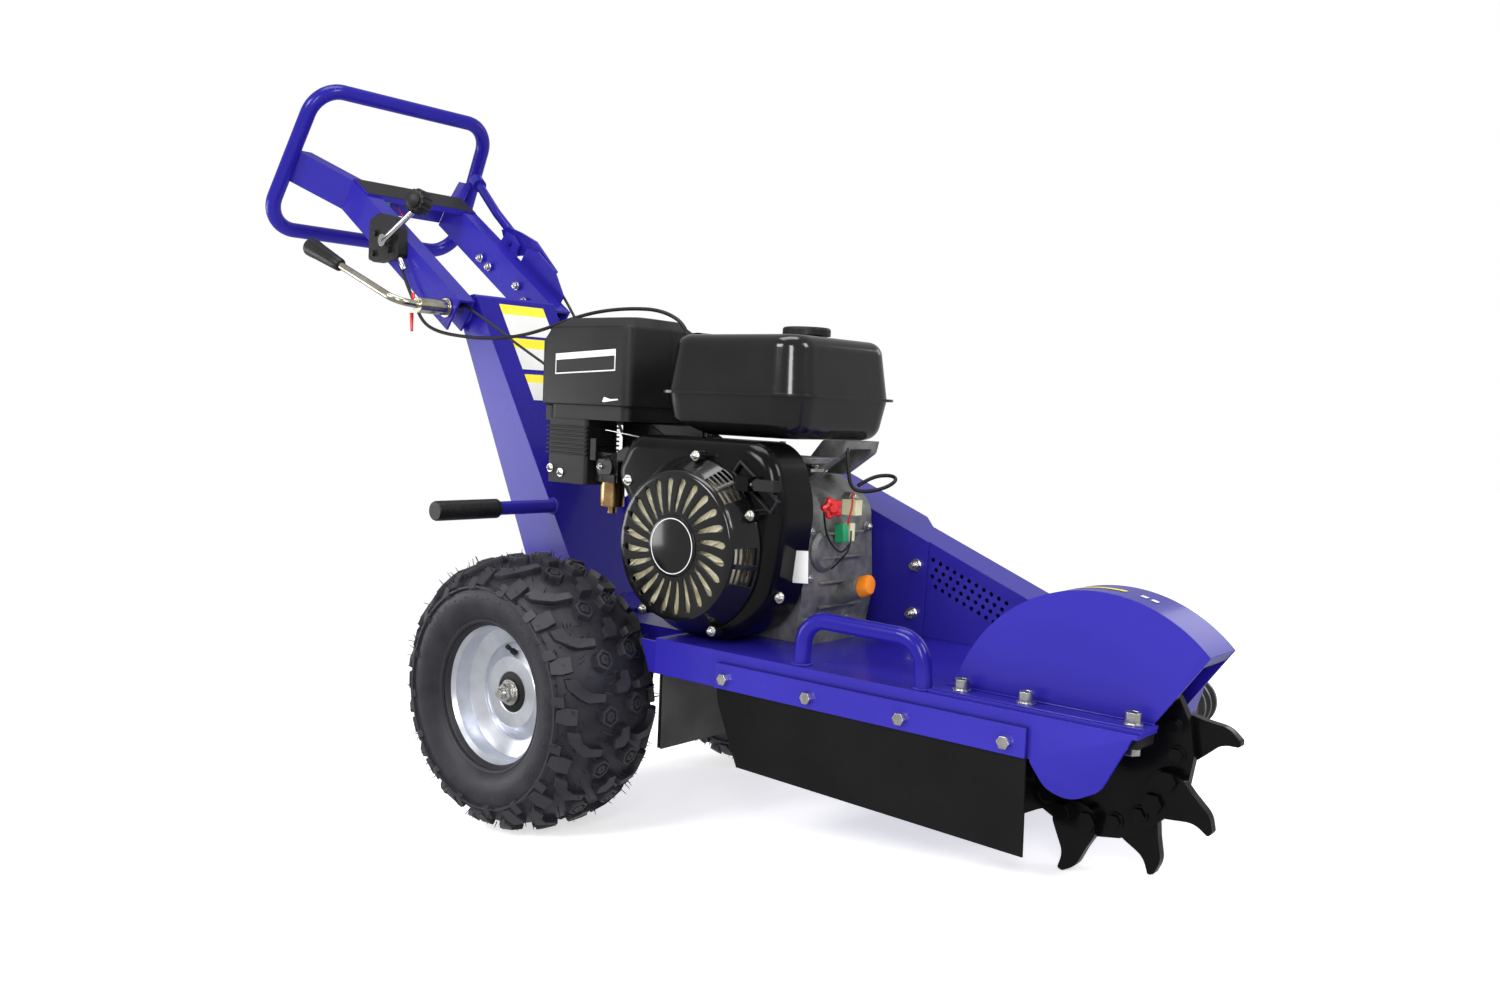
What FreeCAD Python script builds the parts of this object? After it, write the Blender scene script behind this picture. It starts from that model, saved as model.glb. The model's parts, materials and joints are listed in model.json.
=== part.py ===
"""Walk-behind stump grinder: a petrol engine on a wheeled deck drives a toothed cutter through belts.

Everything is drawn level, in the deck's own axes: X forward along the deck, Y to the machine's left and
Z up from the wheel axle.  At the end the whole machine is tilted nose down about the axle until the two
lowest cutter teeth stand on the ground beside the tyres, which is how it rests when it is parked.
"""
import FreeCAD, Part
import math
import os
import re

Vector = FreeCAD.Vector
os.makedirs("parts", exist_ok=True)
doc = FreeCAD.newDocument("StumpGrinder")

# --------------------------------------------------------------------------------------------------
# Driving dimensions, in millimetres and degrees
# --------------------------------------------------------------------------------------------------
DRIVING = {
    # running gear
    "tyre_radius": 203.0, "tyre_width": 188.0, "half_track": 270.0, "bead_radius": 91.0,
    "rim_flange_radius": 100.0, "rim_width": 136.0, "axle_radius": 12.5, "axle_half_length": 322.0,
    "hub_radius": 24.0, "hub_inner": 228.0, "hub_outer": 302.0, "axle_gap": 0.06,
    # deck and its folded rails
    "deck_top": 105.0, "plate": 5.0, "rail_half_width": 230.0, "rail_bottom": 55.0,
    "deck_front": 920.0, "deck_step": 218.0, "deck_rear": -212.0, "deck_tail_half_width": 160.0,
    "far_front": 830.0, "slot_rear": 652.0, "slot_near": -177.0, "slot_far": -108.0,
    # cutter, its guard and its shaft
    "cutter_along": 836.0, "cutter_up": 72.0, "cutter_plane": -140.0, "disc_thickness": 12.0,
    "disc_radius": 113.0, "tooth_reach": 161.0, "tooth_count": 10.0, "tooth_phase": -62.5,
    "tooth_bolt_circle": 95.0, "tooth_bolt_spread": 9.5, "tooth_thickness": 12.0, "hub_of_disc": 32.0,
    "shaft_radius": 12.5, "bearing_gap": 0.05,
    "guard_along": 843.5, "guard_up": 64.5, "guard_radius": 180.5, "guard_near": -180.0,
    "guard_far": -105.0, "guard_sheet": 3.0, "guard_mouth_angle": 44.0, "guard_toe": 914.0,
    # belt drive
    "crank_along": 245.0, "crank_up": 237.0, "belt_plane": 130.0, "clutch_pitch_radius": 28.0,
    "pulley_pitch_radius": 28.0, "pulley_width": 42.0, "belt_spacing": 19.0, "belt_width": 13.0,
    "belt_thickness": 9.0, "belt_guard_back": 95.0, "belt_guard_narrow": 168.0,
    "belt_guard_wide": 197.0, "belt_guard_fall": 0.391,
    # riser and handle
    "riser_half_width": 89.0, "riser_plate": 4.0, "pivot_along": -412.0, "pivot_up": 582.0,
    "arm_slope": 34.7, "arm_inside": 94.0, "arm_outside": 128.0, "arm_depth": 62.0, "arm_plate": 4.0,
    "arm_bend": 381.0, "arm_length": 470.0, "arm_flare": 77.0, "loop_tube": 14.0,
    "loop_top_along": -720.0, "loop_top_up": 984.0, "loop_top_half": 196.0,
    "loop_low_along": -860.0, "loop_low_up": 736.0, "loop_low_half": 221.0,
    # engine
    "recoil_radius": 123.0, "recoil_face": -232.0, "blower_face": -190.0, "blower_back": -114.0,
    "case_near": -100.0, "case_far": 82.0, "tank_rear": 122.0, "tank_front": 384.0,
    "tank_near": -150.0, "tank_far": 100.0, "tank_seam": 450.0, "tank_top": 535.0, "tank_base": 390.0,
    "tank_draft": 11.0, "tank_corner": 44.0, "filler_along": 275.0, "filler_y": 10.0,
}
sheet = doc.addObject("Spreadsheet::Sheet", "Sizes")
for row, (alias, value) in enumerate(DRIVING.items(), 1):
    sheet.set(f"A{row}", alias)
    sheet.set(f"B{row}", str(value))
    sheet.setAlias(f"B{row}", alias)
doc.recompute()

ALIAS = re.compile(r"\b(" + "|".join(sorted(DRIVING, key=len, reverse=True)) + r")\b")


class Sizes:
    """Reads the sheet: size.deck_top is the value of the cell whose alias is deck_top."""

    def __getattr__(self, alias):
        return float(sheet.get(alias))


size = Sizes()


def bind(obj, prop, expression):
    """Ties a property to the sheet: aliases in the expression become references to their cells."""
    obj.setExpression(prop, ALIAS.sub(r"Sizes.\1", str(expression)))


# --------------------------------------------------------------------------------------------------
# Building blocks
# --------------------------------------------------------------------------------------------------
counter = {}


def fresh(stem):
    counter[stem] = counter.get(stem, 0) + 1
    return f"{stem}_{counter[stem]}"


def place(obj, where):
    for axis, value in zip("xyz", where):
        bind(obj, f"Placement.Base.{axis}", value)


def box(low, high):
    """A block between two corners; each coordinate is a number or an expression."""
    obj = doc.addObject("Part::Box", fresh("block"))
    for prop, a, b in zip(("Length", "Width", "Height"), low, high):
        bind(obj, prop, f"({b}) - ({a})")
    place(obj, low)
    return obj


TURN = {"x": FreeCAD.Rotation(Vector(0, 1, 0), 90), "y": FreeCAD.Rotation(Vector(1, 0, 0), -90),
        "z": FreeCAD.Rotation()}


def rod(axis, radius, centre, start, end):
    """A round bar along X, Y or Z; centre holds its two other coordinates."""
    obj = doc.addObject("Part::Cylinder", fresh("rod"))
    obj.Placement = FreeCAD.Placement(Vector(), TURN[axis])
    bind(obj, "Radius", radius)
    bind(obj, "Height", f"({end}) - ({start})")
    where = list(centre)
    where.insert("xyz".index(axis), start)
    place(obj, where)
    return obj


def hexagon(across, centre, start, end, axis="y"):
    """A hexagonal head or nut along X, Y or Z."""
    obj = doc.addObject("Part::Prism", fresh("hexagon"))
    obj.Polygon = 6
    obj.Placement = FreeCAD.Placement(Vector(), TURN[axis])
    bind(obj, "Circumradius", f"({across}) / 2 / cos(30)")
    bind(obj, "Height", f"({end}) - ({start})")
    where = list(centre)
    where.insert("xyz".index(axis), start)
    place(obj, where)
    return obj


def fuse(*pieces):
    obj = doc.addObject("Part::MultiFuse", fresh("joined"))
    obj.Shapes = list(pieces)
    return obj


def cut(base, *tools):
    obj = doc.addObject("Part::Cut", fresh("trimmed"))
    obj.Base = base
    obj.Tool = tools[0] if len(tools) == 1 else fuse(*tools)
    return obj


def group(*pieces):
    """Separate solids that share one node."""
    obj = doc.addObject("Part::Compound", fresh("set"))
    obj.Links = list(pieces)
    return obj


def solid(shape):
    obj = doc.addObject("Part::Feature", fresh("shape"))
    obj.Shape = shape
    return obj


def outline_edges(points):
    """Edges of a closed outline; a point with a third value has its corner rounded to that radius."""
    edges = []
    ends = []
    total = len(points)
    for index, point in enumerate(points):
        here = Vector(point[0], point[1], 0)
        if len(point) == 2:
            ends.append((here, None, here))
            continue
        before = Vector(*points[index - 1][:2], 0) - here
        after = Vector(*points[(index + 1) % total][:2], 0) - here
        half = before.getAngle(after) / 2
        reach = point[2] / math.tan(half)
        first = here + before.normalize() * reach
        last = here + after.normalize() * reach
        inward = (before + after).normalize()
        middle = here + inward * (point[2] / math.sin(half) - point[2])
        ends.append((first, middle, last))
    for index, (first, middle, last) in enumerate(ends):
        if middle is not None:
            edges.append(Part.Arc(first, middle, last))
        following = ends[(index + 1) % total][0]
        if (following - last).Length > 1e-6:
            edges.append(Part.LineSegment(last, following))
    return edges


PLANE = {"side": "XZ_Plane", "plan": "XY_Plane", "front": "YZ_Plane"}


def pad(view, points, low, high):
    """A PartDesign body: an outline drawn in side (X, Z), plan (X, Y) or front (Y, Z) view, padded
    between two positions along the third axis."""
    body = doc.addObject("PartDesign::Body", fresh("profile"))
    sketch = body.newObject("Sketcher::SketchObject", fresh("outline"))
    plane = next(f for f in body.Origin.OriginFeatures if f.Role == PLANE[view])
    sketch.AttachmentSupport = [(plane, "")]
    sketch.MapMode = "FlatFace"
    sketch.addGeometry(outline_edges(points))
    start = f"-({high})" if view == "side" else low
    bind(sketch, "AttachmentOffset.Base.z", start)
    feature = body.newObject("PartDesign::Pad", fresh("pad"))
    feature.Profile = sketch
    bind(feature, "Length", f"({high}) - ({low})")
    return body


def rounded(body, radius, is_edge):
    """Rounds the edges of a PartDesign body that is_edge picks out."""
    doc.recompute()
    base = body.Tip
    feature = body.newObject("PartDesign::Fillet", fresh("fillet"))
    names = [f"Edge{index + 1}" for index, edge in enumerate(base.Shape.Edges) if is_edge(edge)]
    feature.Base = (base, names)
    feature.Radius = radius
    return body


def turned(points, centre):
    """A PartDesign body turned about an axis along Y through centre (x, z); points are (radius, y)."""
    body = doc.addObject("PartDesign::Body", fresh("lathe"))
    sketch = body.newObject("Sketcher::SketchObject", fresh("section"))
    plane = next(f for f in body.Origin.OriginFeatures if f.Role == "XY_Plane")
    sketch.AttachmentSupport = [(plane, "")]
    sketch.MapMode = "FlatFace"
    sketch.addGeometry(outline_edges(points))
    feature = body.newObject("PartDesign::Revolution", fresh("turn"))
    feature.Profile = sketch
    feature.ReferenceAxis = (sketch, ["V_Axis"])
    feature.Angle = 360
    bind(body, "Placement.Base.x", centre[0])
    bind(body, "Placement.Base.z", centre[1])
    return body


def widest_bend(before, here, after):
    """The largest comfortable bend radius of a cable between two of its straight runs."""
    first, second = before - here, after - here
    half_turn = (math.pi - first.getAngle(second)) / 2
    return 0.45 * min(first.Length, second.Length) / math.tan(half_turn)


def pipe(points, radius, bends, closed=False):
    """A bent tube's solid along straight runs joined by tangent arcs; "auto" bends are as wide as fit."""
    points = [Vector(*p) for p in points]
    count = len(points)
    if bends == "auto":
        bends = [0] + [widest_bend(*points[index - 1:index + 2]) for index in range(1, count - 1)] + [0]
    legs = []
    for index, here in enumerate(points):
        if not closed and index in (0, count - 1):
            legs.append((here, None, here))
            continue
        before = points[index - 1] - here
        after = points[(index + 1) % count] - here
        half = before.getAngle(after) / 2
        bend = bends[index] if isinstance(bends, (list, tuple)) else bends
        if math.pi / 2 - half < 1e-3 or bend == 0:
            legs.append((here, None, here))
            continue
        reach = bend / math.tan(half)
        first = here + before.normalize() * reach
        last = here + after.normalize() * reach
        middle = here + (before + after).normalize() * (bend / math.sin(half) - bend)
        legs.append((first, middle, last))
    edges = []
    for index, (first, middle, last) in enumerate(legs):
        if middle is not None:
            edges.append(Part.Arc(first, middle, last).toShape())
        if closed or index < count - 1:
            following = legs[(index + 1) % count][0]
            edges.append(Part.LineSegment(last, following).toShape())
    path = Part.Wire(edges)
    start = path.OrderedVertexes[0].Point
    direction = path.OrderedEdges[0].tangentAt(path.OrderedEdges[0].FirstParameter)
    ring = Part.Wire(Part.Circle(start, direction, radius).toShape())
    return path.makePipeShell([ring], True, True)


def cable(name, points, radius):
    """A held cable's solid; its length and bends are printed so that they can be checked."""
    points = [Vector(*p) for p in points]
    radii = [widest_bend(*points[index - 1:index + 2]) for index in range(1, len(points) - 1)]
    shape = pipe(points, radius, "auto")
    print(f"{name}: {shape.Volume / (math.pi * radius ** 2):.0f} mm long, bends "
          + ", ".join(f"{bend:.0f}" for bend in radii) + " mm")
    return solid(shape)


def tube_through(points, radius, bends, closed=False):
    return solid(pipe(points, radius, bends, closed))


def ring_of(count, radius, centre, phase=0.0):
    """Positions (x, z) equally spaced round a centre, anticlockwise from +X in side view."""
    for index in range(int(count)):
        angle = math.radians(phase + 360.0 / count * index)
        yield centre[0] + radius * math.cos(angle), centre[1] + radius * math.sin(angle)


nodes = {}


def node(label, obj):
    """Registers a finished sub-part; one whose own placement follows the sheet is held in a group."""
    nodes[label] = group(obj) if obj.ExpressionEngine else obj


# --------------------------------------------------------------------------------------------------
# Wheels and axle
# --------------------------------------------------------------------------------------------------
def build_wheel(side, name):
    """A knobby 16 x 8-7 tyre on a pressed two-step rim; side is -1 for the right and 1 for the left."""
    half = size.tyre_width / 2
    tread = size.tyre_radius
    bead = size.bead_radius
    rim_half = size.rim_width / 2
    wall = 11.0
    outer = [(bead + 9, -rim_half + 7, 4), (156, -half, 30), (tread - 6, -half + 14, 22), (tread, -40, 60),
             (tread, 40, 60), (tread - 6, half - 14, 22), (156, half, 30), (bead + 9, rim_half - 7, 4)]
    inner = [(bead + 9, rim_half - 7 - wall), (152, half - wall, 25), (tread - 18, half - 30, 20),
             (tread - 18, -half + 30, 20), (152, -half + wall, 25), (bead + 9, -rim_half + 7 + wall)]
    tyre = turned(outer + inner, (0, 0))
    bind(tyre, "Placement.Base.y", f"{side} * half_track")
    node(f"tyre_{name}", tyre)

    flange = size.rim_flange_radius
    seat = bead + 8.7
    out = side
    disc = size.half_track
    barrel = [(flange + 8, -rim_half), (flange + 8, -rim_half + 3), (seat, -rim_half + 7), (seat, -34),
              (76, -24), (76, 24), (seat, 34), (seat, rim_half - 7), (flange + 8, rim_half - 3),
              (flange + 8, rim_half), (flange + 3, rim_half), (seat - 4, rim_half - 8), (seat - 4, 35),
              (72.5, 25), (72.5, -25), (seat - 4, -35), (seat - 4, -rim_half + 8), (flange + 3, -rim_half)]
    barrel_body = turned([(r, out * y) for r, y in barrel], (0, 0))
    bind(barrel_body, "Placement.Base.y", f"{side} * half_track")
    step = [(73.4, 20), (73.4, 16), (58, 22), (50, 30), (33, 30), (28, 24), (23, 24), (23, 28), (31, 34),
            (52, 34), (60, 26)]
    disc_body = turned([(r, out * y) for r, y in step], (0, 0))
    bind(disc_body, "Placement.Base.y", f"{side} * half_track")
    bore = size.axle_radius + size.axle_gap
    inner_end = size.hub_inner - disc
    outer_end = size.hub_outer - disc
    hub = [(bore, inner_end), (size.hub_radius, inner_end), (size.hub_radius, outer_end), (bore, outer_end)]
    hub_body = turned([(r, out * y) for r, y in hub], (0, 0))
    bind(hub_body, "Placement.Base.y", f"{side} * half_track")
    node(f"rim_{name}", fuse(barrel_body, disc_body, hub_body))


build_wheel(-1, "right")
build_wheel(1, "left")
node("axle", rod("y", "axle_radius", (0, 0), "-axle_half_length", "axle_half_length"))


def build_axle_nuts():
    pieces = []
    for side in (-1, 1):
        near = ("hub_outer + 0.5", "hub_outer + 3") if side > 0 else ("-hub_outer - 3", "-hub_outer - 0.5")
        far = ("hub_outer + 3", "hub_outer + 17") if side > 0 else ("-hub_outer - 17", "-hub_outer - 3")
        washer = rod("y", 21, (0, 0), *near)
        nut = hexagon(30, (0, 0), *far)
        inside = ("hub_inner - 7", "hub_inner - 0.5") if side > 0 else ("-hub_inner + 0.5", "-hub_inner + 7")
        collar = rod("y", 21, (0, 0), *inside)
        for piece in (fuse(washer, nut), collar):
            pieces.append(cut(piece, rod("y", "axle_radius", (0, 0), "-400", "400")))
    node("axle_nuts", group(*pieces))


build_axle_nuts()


# --------------------------------------------------------------------------------------------------
# Deck: folded plate with side rails, axle hangers and bearing brackets
# --------------------------------------------------------------------------------------------------
def build_deck():
    wide = size.rail_half_width
    tail = size.deck_tail_half_width
    front = size.deck_front
    step = size.deck_step
    tail_corner = 18
    top = pad("plan", [(size.deck_rear, -tail, tail_corner), (step, -tail), (step, -wide), (front, -wide),
                       (front, -72), (size.far_front, wide), (step, wide), (step, tail),
                       (size.deck_rear, tail, tail_corner)], "deck_top - plate", "deck_top")
    cutter_slot = box(("slot_rear", "slot_near", 90), ("deck_front + 10", "slot_far", 115))
    belt_slot = box((540, 100, 90), ("deck_front + 10", 158, 115))
    plate = cut(top, cutter_slot, belt_slot)
    # The near rail ends in a rounded lobe below the cutter's near bearing
    lobe = size.cutter_along + 12
    drop = size.cutter_up + 4
    under = size.deck_top - size.plate
    near_side = [(step, under), (step, size.rail_bottom), (lobe - 51, size.rail_bottom),
                 (lobe - 49, size.rail_bottom - 5), (lobe - 30, drop - 50, 30), (lobe, drop - 58, 40),
                 (lobe + 34, drop - 40, 30), (lobe + 66, drop + 24), (front - 2, under)]
    far_side = [(step, under), (step, size.rail_bottom), (size.far_front - 26, size.rail_bottom),
                (size.far_front, under)]
    rails = [pad("side", near_side, "-rail_half_width", "-rail_half_width + plate"),
             pad("side", far_side, "rail_half_width - plate", "rail_half_width")]
    tail_rails = [box(("deck_rear + 20", a, "rail_bottom + 10"), ("deck_step + plate", b, "deck_top - plate"))
                  for a, b in (("-deck_tail_half_width", "-deck_tail_half_width + plate"),
                               ("deck_tail_half_width - plate", "deck_tail_half_width"))]
    cross = box(("deck_step", "-rail_half_width + plate", "rail_bottom + 8"),
                ("deck_step + plate", "rail_half_width - plate", "deck_top - plate"))
    rear_cross = box(("deck_rear + 20", "-deck_tail_half_width + plate", "rail_bottom + 10"),
                     ("deck_rear + 20 + plate", "deck_tail_half_width - plate", "deck_top - plate"))
    middle = box((640, "-rail_half_width + plate", 70), ("640 + plate", 100, "deck_top - plate"))
    hanger = [(-62, 65), (-34, -28, 26), (34, -28, 26), (62, 65)]
    hangers = [pad("side", hanger, low, high) for low, high in ((-160, -152), (152, 160))]
    frame = fuse(plate, *rails, *tail_rails, cross, rear_cross, middle, *hangers)
    node("deck_frame", cut(frame, rod("y", "axle_radius", (0, 0), "-200", "200")))


build_deck()


def build_riser():
    """A closed sheet-metal column that leans back from the deck to the handle pivot."""
    half = "riser_half_width"
    skin = size.riser_plate
    base = size.deck_top
    foot_rear, foot_front = -199, -78
    outer = [(foot_rear, base), (foot_front, base), (-383, 610, 10), (-440, 600, 14)]
    inner = [(foot_rear + 5, base + skin), (foot_front - 7, base + skin), (-386, 604), (-434, 597)]
    shell = cut(pad("side", outer, f"-{half}", half),
                pad("side", inner, f"-{half} + riser_plate", f"{half} - riser_plate"))
    foot = box((-96, -110, "deck_top"), (44, 110, "deck_top + 6"))
    boss_radius, boss_stand, bore_radius = 22, 4, 8.06
    boss = rod("y", boss_radius, ("pivot_along", "pivot_up"), f"-{half} - {boss_stand}",
               f"{half} + {boss_stand}")
    bore = rod("y", bore_radius, ("pivot_along", "pivot_up"), "-200", "200")
    node("riser_column", cut(fuse(shell, foot, boss), bore))


build_riser()


GRAB_BAR = (-163, 254)
GRAB_RADIUS = 11


def build_grab_bars():
    """A side bar with a grip on each side of the riser, and a lifting handle on each side of the deck."""
    bar_end, grip_start, grip_end, grip_radius = 324, 208, 327, 14.5
    bars = []
    grips = []
    for side in (-1, 1):
        low, high = (-bar_end, "-riser_half_width") if side < 0 else ("riser_half_width", bar_end)
        bars.append(rod("y", GRAB_RADIUS, GRAB_BAR, low, high))
        low, high = sorted((side * grip_start, side * grip_end))
        core_low, core_high = sorted((side * (grip_start - 8), side * bar_end))
        grips.append(cut(rod("y", grip_radius, GRAB_BAR, low, high),
                         rod("y", GRAB_RADIUS, GRAB_BAR, core_low, core_high)))
    lift_bend = 34
    for y in (-213, 213):
        path = [(462, y, size.deck_top), (466, y, 166), (640, y, 164), (646, y, size.deck_top)]
        bars.append(tube_through(path, GRAB_RADIUS, lift_bend))
    node("grab_bars", group(*bars))
    node("grab_bar_grips", group(*grips))


build_grab_bars()


# --------------------------------------------------------------------------------------------------
# Chip flaps and their clamping strips
# --------------------------------------------------------------------------------------------------
FLAP_BOLTS = [352.6 + 139.3 * index for index in range(4)]
FLAP_BOLT_HEIGHT = 70.2


def build_flaps():
    """Rubber chip flaps under both rails and behind the cutter, and the strips that clamp them."""
    sheet_thickness, strip_thickness = 3, 4
    sheets = []
    strips = []
    flap = [(337, 90), (337, 40, 60), (376, -45), (797, -57), (794, 90)]
    for side in (-1, 1):
        face = size.rail_half_width
        low, high = sorted((side * face, side * (face + sheet_thickness)))
        sheets.append(pad("side", flap, low, high))
        low, high = sorted((side * (face + sheet_thickness), side * (face + sheet_thickness + strip_thickness)))
        strips.append(box((335, low, 56), (795, high, 90)))
    sheets.append(box(("deck_step + plate", "-rail_half_width + 8", -52),
                      ("deck_step + plate + 4", "rail_half_width - 8", "deck_top - plate")))
    node("rubber_flaps", group(*sheets))
    node("flap_strips", group(*strips))


build_flaps()


# --------------------------------------------------------------------------------------------------
# Belt drive
# --------------------------------------------------------------------------------------------------
def guard_top(x):
    """Height of the belt guard's sloping top edge."""
    return 266.7 - size.belt_guard_fall * (x - 401.6)


def belt_guard_outline(inset=0.0):
    base = size.deck_top
    return [(150 + inset, base), (150 + inset, 250, 60), (196, guard_top(196) - inset, 50),
            (738, guard_top(738) - inset, 30),
            (806, guard_top(738) - inset, 25), (849 - inset, base)]


def build_belt_guard():
    """A closed cover, wide over the clutch and narrow over the belts, on a perforated back panel.
    It is shaved at its rear corner to clear the left tyre."""
    narrow, wide_face, skin = size.belt_guard_narrow, size.belt_guard_wide + 0.5, 2.0
    below, above, beyond = 90, 420, 1000

    def shave(plan):
        return pad("plan", plan, below, above)

    wide = pad("side", belt_guard_outline(), "belt_guard_back + 3", "belt_guard_wide")
    narrow_cut = shave([(385, wide_face), (415, narrow), (beyond, narrow), (beyond, 220), (385, 220)])
    tyre_cut = shave([(140, 168), (158, 168), (222, wide_face), (222, 210), (140, 210)])
    inner_tyre_cut = shave([(140, 165.5), (159, 165.5), (223, 195.2), (223, 210), (140, 210)])
    inner = pad("side", belt_guard_outline(skin), "belt_guard_back", f"belt_guard_wide - {skin}")
    inner_cut = shave([(385 - skin, wide_face - skin), (415 - skin, narrow - skin), (beyond, narrow - skin),
                       (beyond, 220), (385 - skin, 220)])
    hollow = cut(inner, inner_cut, inner_tyre_cut)
    node("belt_guard_cover", cut(cut(wide, narrow_cut, tyre_cut), hollow))
    panel = pad("side", belt_guard_outline(), "belt_guard_back", "belt_guard_back + 3")
    rear = [(150, size.deck_top), (150, 250, 60), (196, guard_top(196), 50), (455, guard_top(455)),
            (452, size.deck_top)]
    overlay = pad("side", rear, "belt_guard_back - 3", "belt_guard_back")
    vent_radius, vent_pitch, row_pitch, stagger = 3.2, 12.3, 12.2, 6
    vents = []
    for row in range(4):
        odd = row % 2
        for column in range(11 - odd):
            x = 462 + vent_pitch * column + stagger * odd
            z = 217 - size.belt_guard_fall * (x - 470) - row_pitch * row
            vents.append(rod("y", vent_radius, (x, z), 80, 110))
    crank_hole = rod("y", 44, ("crank_along", "crank_up"), 80, 110)
    shaft_hole = rod("y", 18, ("cutter_along", "cutter_up"), 80, 110)
    node("belt_guard_backplate", cut(fuse(panel, overlay), crank_hole, shaft_hole, *vents))


build_belt_guard()


def pulley_section(pitch, start, bore):
    """Half section of a two-groove pulley: points (radius, y)."""
    rim = pitch + 5
    floor = pitch - 6
    width = size.pulley_width
    spacing = size.belt_spacing
    points = [(bore, start), (rim, start)]
    for groove in (-0.5, 0.5):
        centre = start + width / 2 + groove * spacing
        points += [(rim, centre - 8.3), (floor, centre - 7), (floor, centre + 7), (rim, centre + 8.3)]
    return points + [(rim, start + width), (bore, start + width)]


def build_belts():
    """Two V-belts: the outer wrap round both pulleys less the inner wrap."""
    first = Vector(size.crank_along, 0, size.crank_up)
    second = Vector(size.cutter_along, 0, size.cutter_up)
    along = (second - first).normalize()
    span = (second - first).Length
    belts = []
    for offset in (-0.5, 0.5):
        start = size.belt_plane + offset * size.belt_spacing - size.belt_width / 2
        wraps = []
        for extra in (5.0, 5.0 - size.belt_thickness):
            big = size.clutch_pitch_radius + extra
            small = size.pulley_pitch_radius + extra
            lean = math.acos((big - small) / span)
            corners = []
            for centre, radius in ((first, big), (second, small)):
                for turn in (lean, -lean):
                    cosine, sine = math.cos(turn), math.sin(turn)
                    ray = Vector(along.x * cosine - along.z * sine, 0, along.x * sine + along.z * cosine)
                    corners.append(centre + ray * radius)
            top_first, low_first, top_second, low_second = corners
            wrap = Part.Wire([
                Part.LineSegment(top_first, top_second).toShape(),
                Part.Arc(top_second, second + along * small, low_second).toShape(),
                Part.LineSegment(low_second, low_first).toShape(),
                Part.Arc(low_first, first - along * big, top_first).toShape()])
            wraps.append(Part.Face(wrap).extrude(Vector(0, size.belt_width, 0)))
        band = wraps[0].cut(wraps[1])
        band.translate(Vector(0, start, 0))
        belts.append(solid(band))
    node("drive_belts", group(*belts))


build_belts()


# --------------------------------------------------------------------------------------------------
# Cutter: disc, claw teeth on alternate faces, bolts, shaft, bearings and driven pulley
# --------------------------------------------------------------------------------------------------
TOOTH_ANGLES = [size.tooth_phase + 360.0 / size.tooth_count * index for index in range(int(size.tooth_count))]
# One claw, drawn pointing along its own radius: (distance out, sideways towards the cutting direction)
CLAW = [(76, 22, 14), (76, -22, 14), (107, -28, 12), (124, -21, 20), (150, -13, 25), (161, 1, 4), (160, 8, 3),
        (140, 5, 25), (121, 17, 16), (106, 26, 12)]


def swing(point, angle, centre=(0.0, 0.0)):
    """Turns an (out, sideways) point of a claw to its place round the cutter; the cutter turns clockwise
    in side view, so sideways is clockwise."""
    out, sideways = point[0], point[1]
    turn = math.radians(angle)
    x = centre[0] + out * math.cos(turn) + sideways * math.sin(turn)
    z = centre[1] + out * math.sin(turn) - sideways * math.cos(turn)
    return (x, z, *point[2:])


def tooth_bolt(spot, near_claw):
    """One claw bolt: a large head on a claw that faces us, or a washer and small head on the bare disc."""
    thick = size.tooth_thickness
    low = size.cutter_plane - size.disc_thickness / 2
    high = size.cutter_plane + size.disc_thickness / 2
    head_height, nut_height, washer_height = 6.0, 8.0, 2.0
    claw_head, disc_head, nut_across = 21.0, 15.0, 17.0
    if near_claw:
        seat, end = low - thick, high + nut_height
        head = hexagon(claw_head, spot, seat - head_height, seat)
    else:
        seat, end = low, high + thick + nut_height
        washer = rod("y", 11, spot, seat - washer_height, seat)
        head = fuse(washer, hexagon(disc_head, spot, seat - head_height, seat - washer_height))
    shank = rod("y", 5.5, spot, seat - 1, end)
    return fuse(shank, head, hexagon(nut_across, spot, end - nut_height, end))


def build_cutter():
    centre = (size.cutter_along, size.cutter_up)
    low = size.cutter_plane - size.disc_thickness / 2
    high = size.cutter_plane + size.disc_thickness / 2
    half_flat = 9.0
    corner_radius = size.disc_radius / math.cos(math.radians(half_flat))
    rim = [swing((corner_radius, 0), angle + turn, centre)
           for angle in TOOTH_ANGLES for turn in (-half_flat, half_flat)]
    bore = rod("y", "shaft_radius", ("cutter_along", "cutter_up"), "cutter_plane - 60", "cutter_plane + 60")
    hub = rod("y", "hub_of_disc", ("cutter_along", "cutter_up"), "cutter_plane - 22", "cutter_plane + 26")
    node("cutter_disc", cut(fuse(pad("side", rim, low, high), hub), bore))
    teeth = []
    bolts = []
    for index, angle in enumerate(TOOTH_ANGLES):
        near_claw = index % 2 == 1
        start = low - size.tooth_thickness if near_claw else high
        outline = [swing(point, angle, centre) for point in CLAW]
        teeth.append(pad("side", outline, start, start + size.tooth_thickness))
        for turn in (-size.tooth_bolt_spread, size.tooth_bolt_spread):
            bolts.append(tooth_bolt(swing((size.tooth_bolt_circle, 0), angle + turn, centre), near_claw))
    node("cutter_teeth", group(*teeth))
    node("tooth_bolts", group(*bolts))
    shaft_near, shaft_far = -221, 156
    node("cutter_shaft", rod("y", "shaft_radius", ("cutter_along", "cutter_up"), shaft_near, shaft_far))
    start = size.belt_plane - size.pulley_width / 2
    node("cutter_pulley", turned(pulley_section(size.pulley_pitch_radius, start, size.shaft_radius),
                                 ("cutter_along", "cutter_up")))


build_cutter()


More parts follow.
